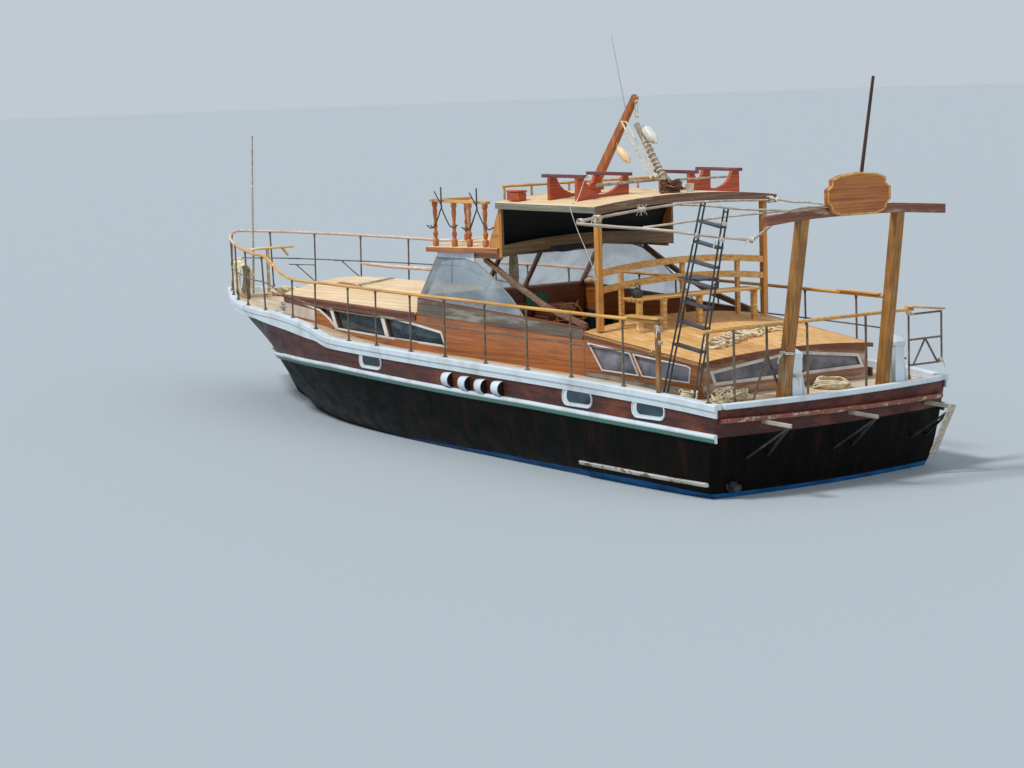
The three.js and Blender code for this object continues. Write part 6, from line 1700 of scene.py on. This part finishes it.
RACK_FORE, RACK_AFT = np.array((7.28, 0.34, 2.235)), np.array((6.42, 0.56, 2.13))
rack = piece("rope_rack", [rod(RACK_FORE, RACK_AFT, 0.022, 12),
                           rod((6.46, 0.55, 1.606), (6.46, 0.55, 2.13), 0.02, 12),
                           rod((7.2, 0.36, 1.612), (7.2, 0.36, 2.22), 0.018, 12)], rail_brown_steel)
rack_run = RACK_AFT - RACK_FORE
anchor_route = hung_hank(RACK_FORE + rack_run * 0.1 + (0, 0, 0.037), rack_run, 13, 0.034, 0.085, 0.56,
                         0.03, 3)
free_rope("anchor_rope_hank", anchor_route, 0.034, natural_rope)
hook = piece("hank_hook", [swept([(-1.145, 0.3, 2.8), (-1.2, 0.3, 2.78), (-1.3, 0.3, 2.695),
                                  (-1.36, 0.3, 2.7), (-1.37, 0.3, 2.74)], rounded(0.008, 8), (0, 1, 0))],
             black_iron)
hank_route = hung_hank((-1.3, 0.36, 2.72), (0, -1, 0), 4, 0.022, 0.05, 0.46, 0.03, 8)
hank_lead = [(-1.162, 0.365, 2.795), (-1.19, 0.365, 2.785), (-1.235, 0.362, 2.745), (-1.262, 0.361, 2.728)]
hank_route = along_route(eased_route(np.vstack([hank_lead, hank_route[::3]]), 6), 0.01)
free_rope("windshield_hank", hank_route, 0.022, natural_rope)
edge_line = eased_route(((-4.45, 1.238, 3.99), (-4.449, 1.29, 3.96), (-4.44, 1.36, 3.8), (-4.44, 1.44, 3.66),
                         (-4.48, 1.56, 3.625), (-4.56, 1.628, 3.55), (-4.7, 1.626, 3.28), (-4.84, 1.6, 3.02),
                         (-4.92, 1.56, 2.8), (-4.95, 1.525, 2.62)), 8)
free_rope("roof_edge_line", along_route(edge_line, 0.006), 0.01, pale_cord)

# Bow gear.
# A rounded plank seat across the pulpit on one leg, a boat-hook shaft lashed along the
# starboard rail, loose braces on its stanchions, and a paddle left on the cabin top.
bow_seat = piece("bow_seat_board", [
    slab([(6.9 + a, -0.16 + b) for b, a in oblong(0.92, 0.26, 0.1)], 2.44, 2.468, "xy"),
    plank((6.9, -0.1, 1.612), (6.9, -0.1, 2.44), 0.05, 0.04, (1, 0, 0)),
    plank((6.9, -0.52, 2.3), (6.9, -0.4, 2.44), 0.04, 0.03, (1, 0, 0))], timber(
    "sunbleached_seat_plank", ("a98350", "d0ac76", "ecd4a6"), run="y", worn="f0e2c6", rough=(0.5, 0.75),
    worn_from=0.52), ease=0.006)
shaft = piece("boat_hook_shaft", [sapling((5.46, -1.28, 2.155), (3.95, -1.73, 2.09), 0.028, 0.034),
                                  rod((5.46, -1.28, 2.157), (5.6, -1.235, 2.163), 0.018, 10)],
              pink_bleached_rail, crease=60)
brace_parts = []
for x, z in ((6.5, 2.12), (5.6, 2.2)):
    y = 0.02 - float(np.interp(x, top_points[::-1, 0], top_points[::-1, 1]))
    brace_parts += [plank((x, y, z), (x + 0.42, y + 0.28, z + 0.01), 0.05, 0.014),
                    rod((x, y, z - 0.3), (x + 0.3, y + 0.2, z), 0.011, 8)]
braces = piece("stanchion_braces", brace_parts, rail_brown_steel, ease=0.002)
BLADE = ((3.34, 0.62), (3.32, 0.53), (2.55, 0.62), (2.5, 0.7), (2.56, 0.77), (3.24, 0.73))
blade_corners = [(x, y, 1.906 + 0.185 * (1 - (y / (house_y(x) + 0.03)) ** 2) + lift)
                 for lift in (0, 0.022) for x, y in BLADE]
paddle = piece("paddle_blade", [(blade_corners, rings_to_faces(2, len(BLADE)))], worn_red_paint, ease=0.004)
handle = piece("paddle_handle", [sapling((2.58, 0.66, 2.083), (2.92, -0.2, 2.112), 0.016, 0.015, wave=0),
                                 rod((2.9, -0.235, 2.114), (2.94, -0.165, 2.114), 0.018, 10)],
               pole_wood, crease=60)

# Small things left about.
# A black cloth folded over the header, a float on the starboard coaming, and a short golden
# board tied along the starboard rail. The cloth's weave is drawn at 6 mm, so that it shows.
black_cloth = uneven("black_weathered_cloth", (9, 9, 9), (0, "14161a"), (1, "34383e"), rough=0.9,
                     relief=0.0008, lay=(52, 0, "X"))


def fold_spot(across, fall):
    """Strip that follows the curve of the header beam, lower at its middle."""
    y = 0.72 - 0.56 * across
    foot = 2.825 + 0.09 * (1 - (y / 1.57) ** 2)
    depth = 0.055 + 0.05 * math.sin(math.pi * across)
    return (-2.823 - 0.01 * fall * (1 + math.sin(across * 17 + 2 * fall)), y, foot + 0.035 - depth * fall)


fold = hung_cloth("header_cloth", 36, 12, fold_spot, black_cloth)
coaming_float = piece("coaming_float", [float_body((-0.62, -1.535, 2.18), (-0.86, -1.545, 2.165), 0.07)],
                      cream_plastic, crease=50)
tied_board = piece("starboard_rail_board", [plank((-5.88, -2.045, 2.262), (-6.72, -2.02, 2.252),
                                                  0.1, 0.022)], golden_rail_wood, ease=0.004)
